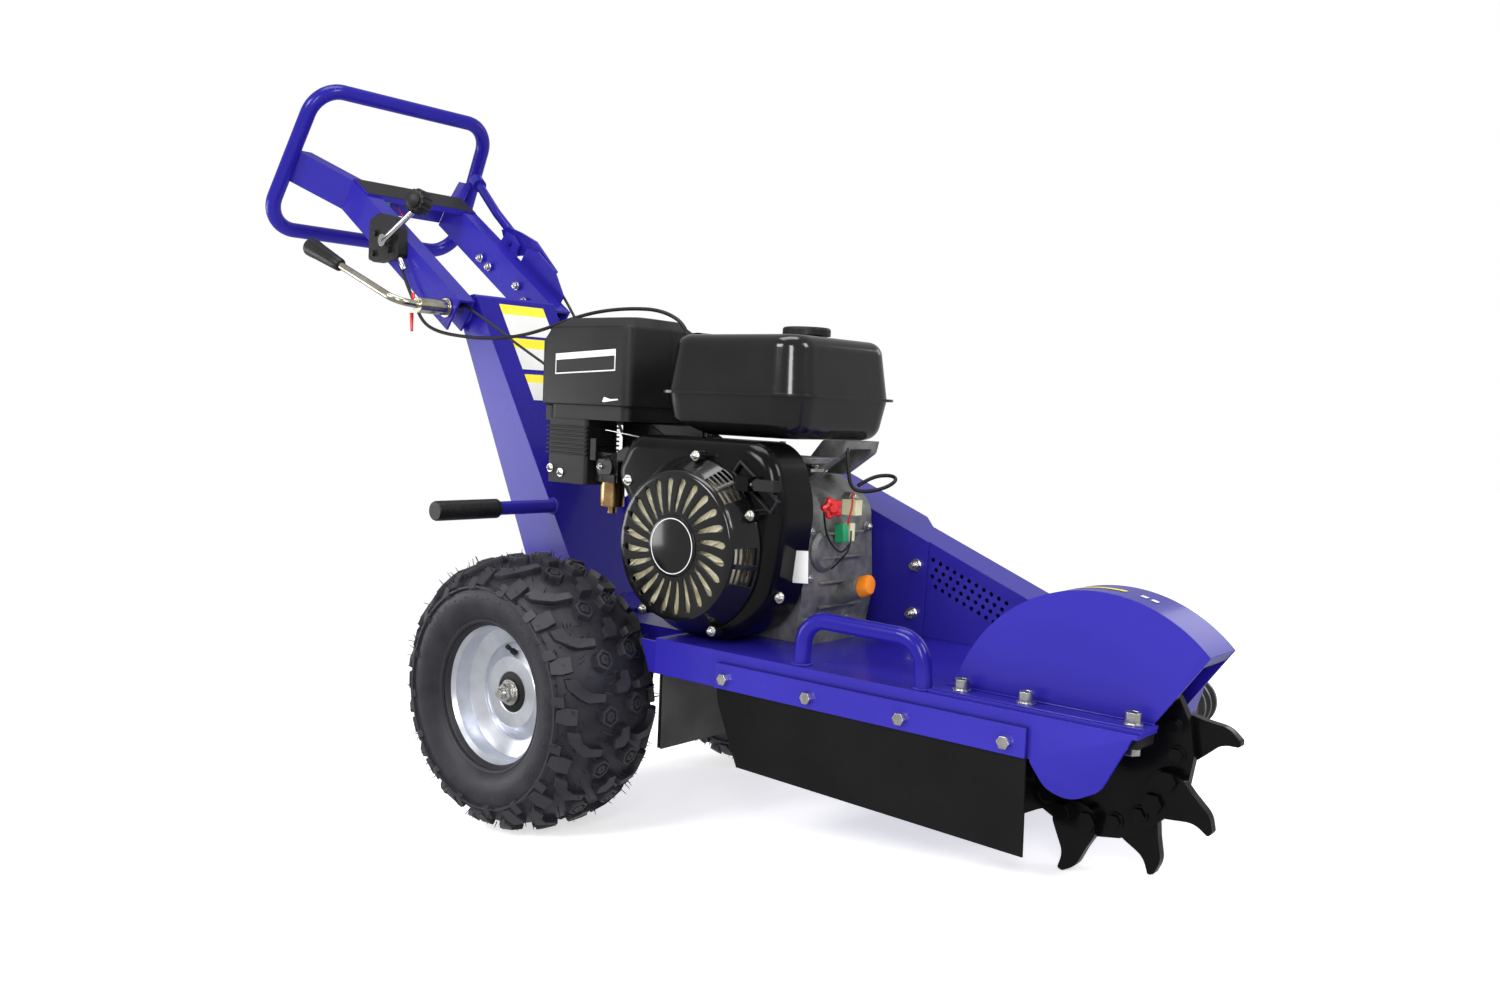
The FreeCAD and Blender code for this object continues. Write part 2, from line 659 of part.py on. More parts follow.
def build_bearings():
    housings = []
    inserts = []
    x, z = size.cutter_along, size.cutter_up
    base = size.deck_top - size.plate
    arch = [(x - 35, z - 4, 20), (x - 18, z - 35, 18), (x + 18, z - 35, 18), (x + 35, z - 4, 20)]
    feet_rear = [(x - 79.5, base), (x - 79.5, base - 12, 4), (x - 38, base - 16, 10)]
    feet_front = [(x + 42, base - 16, 10), (x + 84.5, base - 12, 4), (x + 84.5, base)]
    for centre, profile in ((-203.0, feet_rear + arch + feet_front),
                            (62.0, [(x - 33, base)] + arch + [(x + 33, base)])):
        block = pad("side", profile, centre - 17, centre + 17)
        housings.append(cut(block, rod("y", 26, ("cutter_along", "cutter_up"), centre - 20, centre + 20)))
        inserts.append(cut(rod("y", 26, ("cutter_along", "cutter_up"), centre - 15, centre + 15),
                           rod("y", "shaft_radius + bearing_gap", ("cutter_along", "cutter_up"),
                               centre - 20, centre + 20)))
    node("bearing_blocks", group(*housings))
    node("shaft_bearings", group(*inserts))


build_bearings()


def build_cutter_guard():
    """A rolled band over the cutter between two side panels, with a foot flange on each side."""
    ax, az, radius = size.guard_along, size.guard_up, size.guard_radius
    skin = size.guard_sheet
    toe_x = size.guard_toe
    base = size.deck_top
    mouth = math.radians(size.guard_mouth_angle)

    def panel(low, high, inset):
        reach = radius - inset
        tip = Vector(ax + reach * math.cos(mouth), 0, az + reach * math.sin(mouth))
        rise = math.asin((base - az) / reach)
        rear = Vector(ax - reach * math.cos(rise), 0, base)
        crown = Vector(ax + reach * math.cos(math.radians(102)), 0, az + reach * math.sin(math.radians(102)))
        toe = Vector(toe_x + inset * 0.6, 0, base)
        wire = Part.Wire([Part.Arc(rear, crown, tip).toShape(), Part.LineSegment(tip, toe).toShape(),
                          Part.LineSegment(toe, rear).toShape()])
        block = Part.Face(wire).extrude(Vector(0, high - low, 0))
        block.translate(Vector(0, low, 0))
        return block

    near, far = size.guard_near, size.guard_far
    full = panel(near, far, 0.0)
    hollow = panel(near + skin, far - skin, skin)
    mouth_cut = Part.makeBox(60, far - near - 2 * skin, 160, Vector(0, near + skin, -20))
    lean = math.degrees(math.atan2(radius * math.cos(mouth) + ax - toe_x, az + radius * math.sin(mouth) - base))
    mouth_cut.rotate(Vector(0, 0, 0), Vector(0, 1, 0), lean)
    mouth_cut.translate(Vector(toe_x - 6, 0, base - 8))
    shell = full.cut(hollow).cut(mouth_cut)
    foot_start, foot_length, foot_thickness, near_edge = 660, 262, 4, -224
    near_foot = Part.makeBox(foot_length, near - near_edge, foot_thickness, Vector(foot_start, near_edge, base))
    far_foot = Part.makeBox(foot_length, 32, foot_thickness, Vector(foot_start, far, base))
    node("cutter_guard", solid(shell.fuse([near_foot, far_foot]).removeSplitter()))


build_cutter_guard()


ENGINE_FEET_X = (178, 352)
ENGINE_FEET_Y = (-84, 66)


def guard_screws():
    """Socket head screws along both feet of the cutter guard."""
    pieces = []
    for y in (-201, -84):
        for x in (691, 775, 902):
            washer = rod("z", 11.5, (x, y), "deck_top + 4", "deck_top + 6.5")
            head = rod("z", 9, (x, y), "deck_top + 6.5", "deck_top + 18.5")
            socket = hexagon(10, (x, y), "deck_top + 12", "deck_top + 20", "z")
            shank = rod("z", 6, (x, y), "deck_top - 26", "deck_top + 5")
            nut = hexagon(18, (x, y), "deck_top - 28", "deck_top - 18", "z")
            pieces.append(fuse(washer, cut(head, socket), shank, nut))
    return pieces


def build_chassis_bolts():
    """Guard screws and the hexagon bolts of the flaps, belt guard, rear flap and engine feet."""
    pieces = guard_screws()
    flap_bolt, panel_bolt, skirt_bolt, foot_bolt = 14, 14, 13, 17
    for x in FLAP_BOLTS:
        spot = (x, FLAP_BOLT_HEIGHT)
        pieces.append(fuse(hexagon(flap_bolt, spot, -244, -237), rod("y", 5, spot, -238, -216),
                           hexagon(flap_bolt, spot, -224, -216)))
        pieces.append(fuse(hexagon(flap_bolt, spot, 237, 244), rod("y", 5, spot, 216, 238),
                           hexagon(flap_bolt, spot, 216, 224)))
    for spot in ((436, 210), (433, 138)):
        pieces.append(fuse(hexagon(panel_bolt, spot, 84, 92), rod("y", 4, spot, 76, 104),
                           rod("y", 9, spot, 90.5, 92)))
    for y in (-190, -70, 70, 190):
        spot = (y, 84)
        pieces.append(fuse(hexagon(skirt_bolt, spot, 227, 233, "x"), rod("x", 4, spot, 212, 228)))
    for x in ENGINE_FEET_X:
        for y in ENGINE_FEET_Y:
            pieces.append(fuse(hexagon(foot_bolt, (x, y), "deck_top + 14", "deck_top + 22", "z"),
                               rod("z", 5, (x, y), "deck_top - 14", "deck_top + 15"),
                               hexagon(foot_bolt, (x, y), "deck_top - 14", "deck_top - 5", "z")))
    node("chassis_bolts", group(*pieces))


build_chassis_bolts()


# --------------------------------------------------------------------------------------------------
# Handle: two folded arms, a tube loop, a cross panel, the throttle housing and three levers
# --------------------------------------------------------------------------------------------------
ARM = Vector(-math.cos(math.radians(size.arm_slope)), 0, math.sin(math.radians(size.arm_slope)))
RISE = Vector(math.sin(math.radians(size.arm_slope)), 0, math.cos(math.radians(size.arm_slope)))
PIVOT = Vector(size.pivot_along, 0, size.pivot_up)


def on_arm(along, up, y):
    """A point given by its distance from the pivot along the arm, its height above it, and Y."""
    return PIVOT + ARM * along + RISE * up + Vector(0, y, 0)


def arm_plate(corners, low, high):
    """A plate lying in side view, its corners given as (along, up) on the arm."""
    points = [on_arm(along, up, low) for along, up in corners]
    return Part.Face(Part.makePolygon(points + [points[0]])).extrude(Vector(0, high - low, 0))


def build_arms():
    inside, outside, skin = size.arm_inside, size.arm_outside, size.arm_plate
    half = size.arm_depth / 2
    arms = []
    for side in (-1, 1):
        section = [(half, outside), (half, inside), (-half, inside), (-half, inside + skin),
                   (half - skin, inside + skin), (half - skin, outside - skin), (-half, outside - skin),
                   (-half, outside)]
        face = Part.Face(Part.makePolygon([on_arm(-22, up, side * y) for up, y in section + section[:1]]))
        straight = face.extrude(ARM * (size.arm_bend + 22))
        face = Part.Face(Part.makePolygon([on_arm(size.arm_bend, up, side * y)
                                           for up, y in section + section[:1]]))
        flare = face.extrude(ARM * (size.arm_length - size.arm_bend) + Vector(0, side * size.arm_flare, 0))
        bolt = Part.makeCylinder(8.1, 300, Vector(PIVOT.x, -150, PIVOT.z), Vector(0, 1, 0))
        arms.append(straight.fuse(flare).removeSplitter().cut(bolt))
    bracket = arm_plate([(150, 31), (150, 62), (120, 74), (60, 70), (10, 45), (10, 31)], 122, 128)
    arms[1] = arms[1].fuse(bracket)
    node("handle_arms", group(*[solid(arm) for arm in arms]))


build_arms()


def build_loop():
    top, low = size.loop_top_half, size.loop_low_half
    corners = [(size.loop_top_along, -top, size.loop_top_up), (size.loop_top_along, top, size.loop_top_up),
               (size.loop_low_along, low, size.loop_low_up), (size.loop_low_along, -low, size.loop_low_up)]
    middle = ((size.loop_top_along + size.loop_low_along) / 2, -(top + low) / 2,
              (size.loop_top_up + size.loop_low_up) / 2)
    node("handle_loop", tube_through([middle] + corners, size.loop_tube, [0, 58, 58, 58, 58], closed=True))


build_loop()


def build_panel():
    top = arm_plate([(328, 31), (384, 31), (384, 34), (328, 34)], -125, 125)
    back = arm_plate([(381, 31), (384, 31), (384, -26), (381, -26)], -93.6, 93.6)
    lip = arm_plate([(328, 31), (331, 31), (331, 24), (328, 24)], -93.6, 93.6)
    switch_box = arm_plate([(345, 31), (378, 31), (378, 6), (345, 6)], -60, -10)
    node("handle_panel", solid(top.fuse([back, lip, switch_box]).removeSplitter()))


build_panel()
THROTTLE = (-560.0, 702.0)


def build_throttle():
    x, z = THROTTLE
    block = pad("side", [(x - 62, z - 30, 6), (x - 44, z - 36, 6), (x + 30, z - 30, 8),
                         (x + 28, z + 20, 10), (x + 12, z + 44, 16),
                         (x - 30, z + 52, 22), (x - 60, z + 42, 14)], -148, "-arm_outside")
    bolts = []
    for bx, bz in ((x - 41, z + 16), (x - 46, z - 20), (x + 2, z - 16)):
        bolts.append(hexagon(11, (bx, bz), -153, -148))
    outlet = solid(Part.makeCylinder(4.5, 16, Vector(x + 25, -139, z - 29), Vector(0.25, 0, -1)))
    node("throttle_housing", fuse(cut(block, rod("y", 5.06, (x, z), -150, -126)), *bolts, outlet))
    pin = Part.makeCylinder(5, 34, Vector(x, -163, z), Vector(0, 1, 0))
    eye = Part.makeCylinder(11, 9, Vector(x, -163, z), Vector(0, 1, 0))
    tip = Vector(x + 118, -166, z + 56)
    reach = tip - Vector(x, -158.5, z)
    arm = Part.makeCylinder(5.5, reach.Length, Vector(x, -158.5, z), reach)
    knob = Part.makeCylinder(17, 26, tip + Vector(0, 6, 0), Vector(0.35, -1, 0.1))
    crown = Part.makeCylinder(12, 32, tip + Vector(0, 6, 0), Vector(0.35, -1, 0.1))
    node("throttle_lever", solid(pin.fuse([eye, arm, knob, crown]).removeSplitter()))


build_throttle()


def build_clamp_lever():
    """The threaded clamp bolt through arms and riser, its hub, and the bent rod with its grip."""
    x, z = size.pivot_along, size.pivot_up
    bolt = Part.makeCylinder(8, 272, Vector(x, -132, z), Vector(0, 1, 0))
    washer = Part.makeCylinder(17, 2.5, Vector(x, -131.5, z), Vector(0, 1, 0))
    hub = Part.makeCylinder(13.5, 58, Vector(x, -190, z), Vector(0, 1, 0))
    nut = Part.makeCylinder(14, 11, Vector(x, 128.6, z), Vector(0, 1, 0))
    rod_shape = pipe([(x, -186, z), (x - 2, -232, z + 4), (x - 168, -236, z + 70)], 6.5, 26)
    reach = Vector(-166, -4, 66).normalize()
    start = Vector(x - 168, -236, z + 70) - reach * 2
    grip = Part.makeCone(11, 16, 86, start, reach)
    crown = Part.makeCylinder(16, 6, start + reach * 86, reach)
    lever = solid(bolt.fuse([washer, hub, nut, rod_shape]).removeSplitter())
    node("clamp_lever", group(lever, solid(grip.fuse(crown).cut(rod_shape))))


build_clamp_lever()


def build_bail():
    """The dead-man lever beside the left arm: a plate on a pivot bolt and a tube towards the loop."""
    pin = Part.makeCylinder(5, 26, on_arm(205, 40, 124), Vector(0, 1, 0))
    plate = arm_plate([(235, 60), (250, 44), (215, 22), (188, 22), (150, 50), (72, 50), (64, 66),
                       (150, 80), (200, 70)], 134, 140)
    head = Part.makeCylinder(9, 6, on_arm(205, 40, 144), Vector(0, 1, 0))
    tube = pipe([tuple(on_arm(222, 50, 144)), tuple(on_arm(300, 54, 150)), tuple(on_arm(438, 54, 186))],
                9, 60)
    collar = Part.makeCylinder(14, 26, on_arm(416, 54, 180.3), on_arm(438, 54, 186) - on_arm(300, 54, 150))
    node("bail_lever", solid(pin.fuse([plate, head, tube, collar]).removeSplitter()))
    ear = arm_plate([(232, 31), (228, 52), (205, 58), (180, 52), (176, 31), (176, -20), (232, -20)], 128, 133)
    hole = Part.makeCylinder(5.06, 60, on_arm(205, 40, 100), Vector(0, 1, 0))
    ear_bolts = ((188, -8), (220, -8))
    arm_bolts = ((96, 8), (60, -4))
    ear_face, arm_face, head_radius = 133, 128, 8
    outside = [Part.makeCylinder(head_radius, 7, on_arm(along, up, ear_face), Vector(0, 1, 0))
               for along, up in ear_bolts]
    loose = [Part.makeCylinder(head_radius, 7, on_arm(along, up, arm_face), Vector(0, 1, 0))
             for along, up in arm_bolts]
    loose += [Part.makeCylinder(head_radius, 6, on_arm(along, up, 88), Vector(0, 1, 0))
              for along, up in ear_bolts + arm_bolts]
    node("bail_bracket", group(solid(ear.cut(hole).fuse(outside)), *[solid(piece) for piece in loose]))


build_bail()


# --------------------------------------------------------------------------------------------------
# Engine
# --------------------------------------------------------------------------------------------------
SLANT = math.radians(25)
BORE = Vector(-math.cos(SLANT), 0, math.sin(SLANT))
ACROSS = Vector(math.sin(SLANT), 0, math.cos(SLANT))
CRANK = Vector(size.crank_along, 0, size.crank_up)


def on_bore(out, up, y):
    """A point given by its distance from the crank along the cylinder, its height above it, and Y."""
    return CRANK + BORE * out + ACROSS * up + Vector(0, y, 0)


def slab(out_low, out_high, up_low, up_high, low, high, corner=0.0):
    """A block lying along the cylinder's slanted axis."""
    points = [on_bore(a, b, low) for a, b in ((out_low, up_low), (out_high, up_low), (out_high, up_high),
                                              (out_low, up_high))]
    shape = Part.Face(Part.makePolygon(points + [points[0]])).extrude(Vector(0, high - low, 0))
    if corner:
        along_bore = [e for e in shape.Edges if abs(e.tangentAt(e.FirstParameter).dot(BORE)) > 0.99]
        shape = shape.makeFillet(corner, along_bore)
    return shape


OIL_NECK = Vector(352, -6, 160)
OIL_NECK_AXIS = Vector(0.93, 0, 0.36)
OIL_NECK_LENGTH = 58


def build_engine_core():
    foot = "deck_top"
    base = box((138, "case_near", foot), (388, "case_far - 4", "deck_top + 14"))
    body = pad("side", [(160, size.deck_top + 12), (362, size.deck_top + 12), (372, 165, 20), (362, 300, 40),
                        (300, 338, 30), (212, 338, 30), (150, 275, 30)], "case_near", "case_far - 8")
    cover = pad("side", [(166, size.deck_top + 16), (352, size.deck_top + 16), (352, 285, 60), (290, 330, 40),
                         (200, 330, 40), (152, 275, 40)], "case_far - 8", "case_far")
    nose = rod("y", 36, ("crank_along", "crank_up"), "case_far - 2", "case_far + 9")
    neck = solid(Part.makeCylinder(15, OIL_NECK_LENGTH, OIL_NECK, OIL_NECK_AXIS))
    holes = [rod("z", 5, (x, y), 90, 130) for x in ENGINE_FEET_X for y in ENGINE_FEET_Y]
    bore = rod("y", 20, ("crank_along", "crank_up"), "case_near - 10", "case_far + 20")
    cavity = rod("y", 62, ("crank_along", "crank_up"), "case_near + 14", "case_far - 24")
    mouth = solid(Part.makeCylinder(9, 40, OIL_NECK + OIL_NECK_AXIS * 25, OIL_NECK_AXIS))
    node("crankcase", cut(fuse(base, body, cover, nose, neck), bore, cavity, mouth, *holes))

    fins = [slab(110 + 13 * index, 115 + 13 * index, -62, 62, -78, 62, 0) for index in range(8)]
    core = slab(96, 214, -46, 46, -60, 46)
    head = slab(214, 252, -58, 58, -74, 60)
    node("cylinder", solid(core.fuse(fins + [head]).removeSplitter()))
    cover = slab(252.2, 280, -44, 44, -42, 44, 14)
    node("valve_cover", solid(cover))
    plug = Part.makeCylinder(8, 30, on_bore(252.2, -8, -60), BORE)
    boot = Part.makeCylinder(11, 26, on_bore(266, -8, -60), BORE)
    node("spark_plug", solid(plug.fuse(boot)))


build_engine_core()


def blower_outline(inset):
    """The fan housing's outline: a round scroll about the crank that widens over the cylinder."""
    return [(118 + inset, 106.5 + inset, 116 - inset), (375 - inset, 106.5 + inset, 110 - inset),
            (397 - inset, 300, 110 - inset), (372 - inset, 386 - inset, 60 - inset),
            (112 + inset, 386 - inset, 36 - inset), (78 + inset, 328, 36 - inset),
            (118 + inset, 268, 36 + inset)]


def build_blower():
    """The fan housing with its rounded front edge, and the slotted recoil starter bowl on it."""
    edge_radius = 20.0
    skin = 3.0
    face, back = size.blower_face, size.blower_back

    def front(edge, plane):
        return edge.BoundBox.YMax < plane + 1.0

    outer = rounded(pad("side", blower_outline(0), "blower_face", "blower_back"), edge_radius,
                    lambda edge: front(edge, face))
    inner = rounded(pad("side", blower_outline(skin), face + skin, back + 1), edge_radius - skin,
                    lambda edge: front(edge, face + skin))
    opening = rod("y", "recoil_radius - 14", ("crank_along", "crank_up"), "blower_face - 5",
                  "blower_face + 10")
    node("blower_housing", cut(outer, inner, opening))

    bowl_face, rim, rim_end = size.recoil_face, size.recoil_radius, size.blower_face - 0.2
    dish = [(40, bowl_face), (101, bowl_face, 26), (rim, bowl_face + 24, 16), (rim, rim_end),
            (rim - 4, rim_end),
            (rim - 4, bowl_face + 26, 12), (99, bowl_face + 4, 22), (40, bowl_face + 4)]
    centre = ("crank_along", "crank_up")
    slot_count, slot_length, slot_width = 24, 40.0, 7.5
    slots = []
    for index in range(slot_count):
        slot = Part.makeBox(slot_length, 14, slot_width, Vector(47, bowl_face - 5, -slot_width / 2))
        slot.rotate(Vector(), Vector(0, 1, 0), 360.0 / slot_count * index - 12)
        slot.translate(CRANK)
        slots.append(slot)
    for middle_angle in (0, 180):
        for step in range(-2, 3):
            vent = Part.makeBox(40, 16, 6, Vector(rim - 20, bowl_face + 22, -3))
            vent.rotate(Vector(), Vector(0, 1, 0), middle_angle + 7.0 * step)
            vent.translate(CRANK)
            slots.append(vent)
    label = rod("y", 42, centre, "recoil_face - 1.5", "recoil_face + 3")
    reel = rod("y", 24, centre, "recoil_face + 3", "recoil_face + 20")
    node("recoil_cover", fuse(cut(turned(dish, centre), solid(Part.makeCompound(slots))), label, reel))
    rope_height, rope_y, rope_radius = 329.5, -205.5, 2.0
    grip = Part.makeBox(34, 15, 15, Vector(369, rope_y - 7.5, rope_height - 7.5))
    ferrule = Part.makeCylinder(5, 8, Vector(362.5, rope_y, rope_height), Vector(1, 0, 0))
    node("recoil_grip", solid(grip.fuse(ferrule)))
    node("starter_rope", solid(Part.makeCylinder(rope_radius, 28, Vector(334, rope_y, rope_height),
                                                 Vector(1, 0, 0))))
    ridge = Part.makeBox(22, 24, 20, Vector(337, -213, 320))
    guide = Part.makeCylinder(rope_radius + 0.4, 60, Vector(324, rope_y, rope_height), Vector(1, 0, 0))
    nodes["blower_housing"] = fuse(nodes["blower_housing"], solid(ridge.cut(guide)))


build_blower()


def build_crank():
    centre = ("crank_along", "crank_up")
    node("crankshaft", fuse(rod("y", 17, centre, "blower_face + 14", "belt_plane + 62"),
                            cut(rod("y", 46, centre, -60, 30), rod("y", 60, centre, -38, 8))))
    wheel = turned([(17.0, -168), (40, -168), (40, -150), (94, -146), (94, -122), (30, -122),
                    (17.0, -122)], centre)
    blade_count, blade_circle, blade_length, blade_depth, blade_thickness = 24, 72, 40, 26, 3
    blades = []
    for x, z in ring_of(blade_count, blade_circle, (size.crank_along, size.crank_up)):
        blade = Part.makeBox(blade_length, blade_depth, blade_thickness,
                             Vector(-blade_length / 2, -172, -blade_thickness / 2))
        blade.rotate(Vector(), Vector(0, 1, 0), -math.degrees(math.atan2(z - size.crank_up,
                                                                         x - size.crank_along)))
        blade.translate(Vector(x, 0, z))
        blades.append(solid(blade))
    cup = turned([(30, -184), (36, -184), (36, -167), (17.0, -167), (17.0, -170), (30, -170)], centre)
    node("flywheel", fuse(wheel, cup, *blades))
    start = size.belt_plane - size.pulley_width / 2
    pulley = turned(pulley_section(size.clutch_pitch_radius, start, 17.0), centre)
    drum = turned([(17.0, start + 42), (52, start + 42), (52, start + 62), (46, start + 66),
                   (17.0, start + 66)], centre)
    node("clutch_pulley", fuse(pulley, drum))


build_crank()


def tank_plan(inset, height):
    """The tank's rounded plan outline as a wire, drawn in by inset, at a height."""
    rear, front = size.tank_rear + inset, size.tank_front - inset
    near, far = size.tank_near + inset, size.tank_far - inset
    corner = size.tank_corner - inset / 2
    points = [(rear, near, corner), (front, near, corner), (front, far, corner), (rear, far, corner)]
    wire = Part.Wire([edge.toShape() for edge in outline_edges(points)])
    wire.translate(Vector(0, 0, height))
    return wire


def build_tank():
    """Two pressed halves that narrow away from a seam flange, with a filler neck on top."""
    rear, near, far = size.tank_rear, size.tank_near, size.tank_far
    seam, top, low, draft = size.tank_seam, size.tank_top, size.tank_base, size.tank_draft
    flange, flange_thickness = 8.0, 4.0
    upper = Part.makeLoft([tank_plan(0, seam), tank_plan(draft, top)], True)
    upper = upper.makeFillet(22, [e for e in upper.Edges if e.BoundBox.ZMin > top - 1])
    lower = Part.makeLoft([tank_plan(draft, low), tank_plan(0, seam)], True)
    lower = lower.makeFillet(26, [e for e in lower.Edges if e.BoundBox.ZMax < low + 1])
    # The lower rear edge is cut away over the carburettor
    chamfer = [Vector(x, near - 5, z) for x, z in ((rear - 5, low - 1), (rear + 90, low - 1),
                                                    (rear + 20, low + 28), (rear - 5, low + 28))]
    wedge = Part.Face(Part.makePolygon(chamfer + chamfer[:1])).extrude(Vector(0, far - near + 10, 0))
    rim = Part.Face(tank_plan(-flange, seam - flange_thickness / 2)).extrude(Vector(0, 0, flange_thickness))
    filler = Vector(size.filler_along, size.filler_y, 0)
    neck = Part.makeCylinder(24, 8, filler + Vector(0, 0, top - 2))
    body = upper.fuse([lower.cut(wedge), rim, neck]).removeSplitter()
    wall = 22.0
    void = Part.makeBox(size.tank_front - rear - 2 * wall, far - near - 2 * wall, top - low - 46,
                        Vector(rear + wall, near + wall, low + 30))
    mouth = Part.makeCylinder(19, 30, filler + Vector(0, 0, top - 20))
    node("fuel_tank", solid(body.cut(void).cut(mouth)))
    lid = Part.makeCylinder(36, 12, filler + Vector(0, 0, top + 6.4))
    lid = lid.makeFillet(4, [e for e in lid.Edges if e.BoundBox.ZMin > top + 18])
    stem = Part.makeCylinder(18.5, 20, filler + Vector(0, 0, top - 12))
    node("fuel_cap", solid(lid.fuse(stem)))
    bracket = pad("side", [(300, 338.2), (332, 338.2), (380, 372, 10), (384, 389.7), (344, 389.7, 8)],
                  -30, 55)
    trim = box((290, -14, 330), (400, 40, 378))
    node("tank_bracket", cut(bracket, trim))


build_tank()


def build_intake():
    base = pad("plan", [(-117.5, -148, 20), (62, -148, 14), (62, -14, 14), (-117.5, -14, 20)], 402, 427)
    duct = pad("plan", [(-116, -146, 6), (-26, -146, 6), (-26, -78, 6), (-116, -78, 6)], 300, 402)
    room = pad("plan", [(-111, -141), (-31, -141), (-31, -83), (-111, -83)], 305, 420)
    node("air_cleaner_base", cut(fuse(base, duct), room))
    cover = pad("side", [(-130, 398), (-130, 520, 22), (-108, 546, 20), (-10, 563, 60), (70, 560, 10),
                         (66, 427.3), (-118, 427.3), (-118, 398)],
                -156, -6)
    hollow = pad("side", [(-124, 427.2), (-124, 514, 18), (-103, 540, 18), (-10, 556, 50), (62, 554, 8),
                          (60, 427.2)], -150, -12)
    node("air_cleaner_cover", cut(cover, hollow))
    filter_ring = cut(pad("plan", [(-104, -138, 24), (48, -138, 24), (48, -26, 24), (-104, -26, 24)],
                          427.4, 500),
                      pad("plan", [(-76, -110, 12), (20, -110, 12), (20, -54, 12), (-76, -54, 12)], 420, 490))
    node("air_filter", filter_ring)
    body = fuse(box((-22, -128, 306), (26, -88, 352)), rod("y", 17, (2, 330), -134, -82),
                rod("x", 20, (-100, 340), -25.5, -22), rod("x", 20, (-100, 340), 26, 40))
    node("carburettor", body)
    node("float_bowl", fuse(rod("z", 19, (0, -112), 268, 305.8), rod("z", 7, (0, -112), 257, 268)))
    choke = solid(Part.makeCylinder(3, 16, Vector(-6, -134.6, 345), Vector(0, -1, 0)).fuse(
        Part.makeBox(12, 4, 34, Vector(-12, -151, 340))))
    node("choke_lever", choke)
    valve = solid(Part.makeCylinder(3, 16, Vector(14, -134.6, 314), Vector(0, -1, 0)).fuse(
        Part.makeBox(34, 4, 12, Vector(8, -150, 308))))
    node("fuel_valve_lever", valve)


build_intake()


def build_muffler():
    can = pad("side", [(-112, 404, 18), (74, 404, 18), (74, 500, 18), (-112, 500, 18)], 14, 112)
    outlet = rod("y", 14, (-80, 440), 112, 124)
    pipe_piece = solid(Part.makeCylinder(12, 26, Vector(58, 34, 379), Vector(0, 0, 1)))
    node("muffler", fuse(can, outlet, pipe_piece))
    shield = pad("side", [(-124, 392), (-124, 536, 24), (86, 548, 24), (86, 392), (83, 392),
                          (83, 544, 20), (-121, 532, 20), (-121, 392)], 4, 118)
    side_wall = pad("side", [(-124, 392), (-124, 536, 24), (86, 548, 24), (86, 392)], 118, 121)
    louvres = [box((-92 + 20 * index, 20, 520), (-82 + 20 * index, 104, 560)) for index in range(8)]
    side_slots = [box((-50, 110, 415 + 20 * index), (60, 130, 423 + 20 * index)) for index in range(5)]
    outlet_hole = rod("y", 17, (-80, 440), 100, 140)
    node("muffler_shield", cut(fuse(shield, side_wall), outlet_hole, *louvres, *side_slots))


build_muffler()


def build_controls():
    plate = box((255, -96, 342), (330, -40, 345.5))
    arm = solid(Part.makeBox(8, 4, 42, Vector(318, -97, 344)))
    pivot = rod("z", 6, (318, -66), 345.5, 356)
    quadrant = box((330, -92, 345.5), (372, -62, 350))
    spring = solid(Part.makeCylinder(3.5, 96, Vector(210, -80, 352), Vector(1, 0, 0.02)))
    link = solid(Part.makeCylinder(1.5, 250, Vector(40, -92, 344), Vector(1, -0.02, 0.06)))
    node("governor_linkage", group(fuse(plate, pivot, quadrant, arm), spring, link))
    knob_axis = Vector(0.75, -0.66, 0)
    seat = Vector(392, -70, 297)
    stud = Part.makeCylinder(7, 16, seat - knob_axis * 14, knob_axis)
    knob = Part.makeCylinder(13, 11, seat + knob_axis * 3, knob_axis)
    node("engine_switch", solid(knob.fuse(Part.makeCylinder(9, 19, seat + knob_axis * 3, knob_axis))))
    coil = Part.makeBox(24, 16, 22, Vector(374.5, -18, 284))
    plug_block = Part.makeBox(12, 12, 26, Vector(376, -14, 246))
    node("ignition_module", group(solid(stud), solid(coil), solid(plug_block)))
    mouth = OIL_NECK + OIL_NECK_AXIS * (OIL_NECK_LENGTH + 0.3)
    cap = Part.makeCylinder(17, 16, mouth, OIL_NECK_AXIS).fuse(
        Part.makeCylinder(8.9, 24, mouth - OIL_NECK_AXIS * 22, OIL_NECK_AXIS))
    node("oil_cap", solid(cap))


build_controls()


def build_cables():
    radius = 2.6
    throttle = cable("throttle cable", [(-533, -140, 655), (-512, -141, 625), (-486, -142, 590),
                                        (-462, -141, 556), (-424, -138, 540),
                     (-366, -132, 532), (-305, -118, 529), (-245, -108, 533), (-190, -98, 545),
                     (-140, -88, 562),
                     (-85, -78, 575), (-20, -70, 580), (45, -64, 577), (92, -60, 556), (104, -60, 520),
                     (108, -62, 470)], radius)
    stop = cable("stop wire", [(-436, -111, 600), (-400, -108, 592), (-366, -95, 572), (-325, -88, 550),
                               (-285, -85, 528),
                 (-245, -82, 508), (-205, -78, 488), (-166, -70, 466), (-140, -58, 430),
                 (-132, -40, 392)], radius)
    brake = cable("blade-control cable", [(-444, 134, 662), (-416, 135, 638), (-388, 135, 606),
                                          (-360, 133, 574), (-325, 126, 540), (-290, 116, 500),
                  (-258, 110, 456), (-226, 108, 408), (-194, 108, 356), (-160, 112, 308),
                  (-138, 118, 254), (-112, 122, 202), (-70, 120, 158),
                  (-10, 116, 135), (50, 112, 124), (110, 110, 118)], radius)
    node("control_cables", group(throttle, stop, brake))


build_cables()


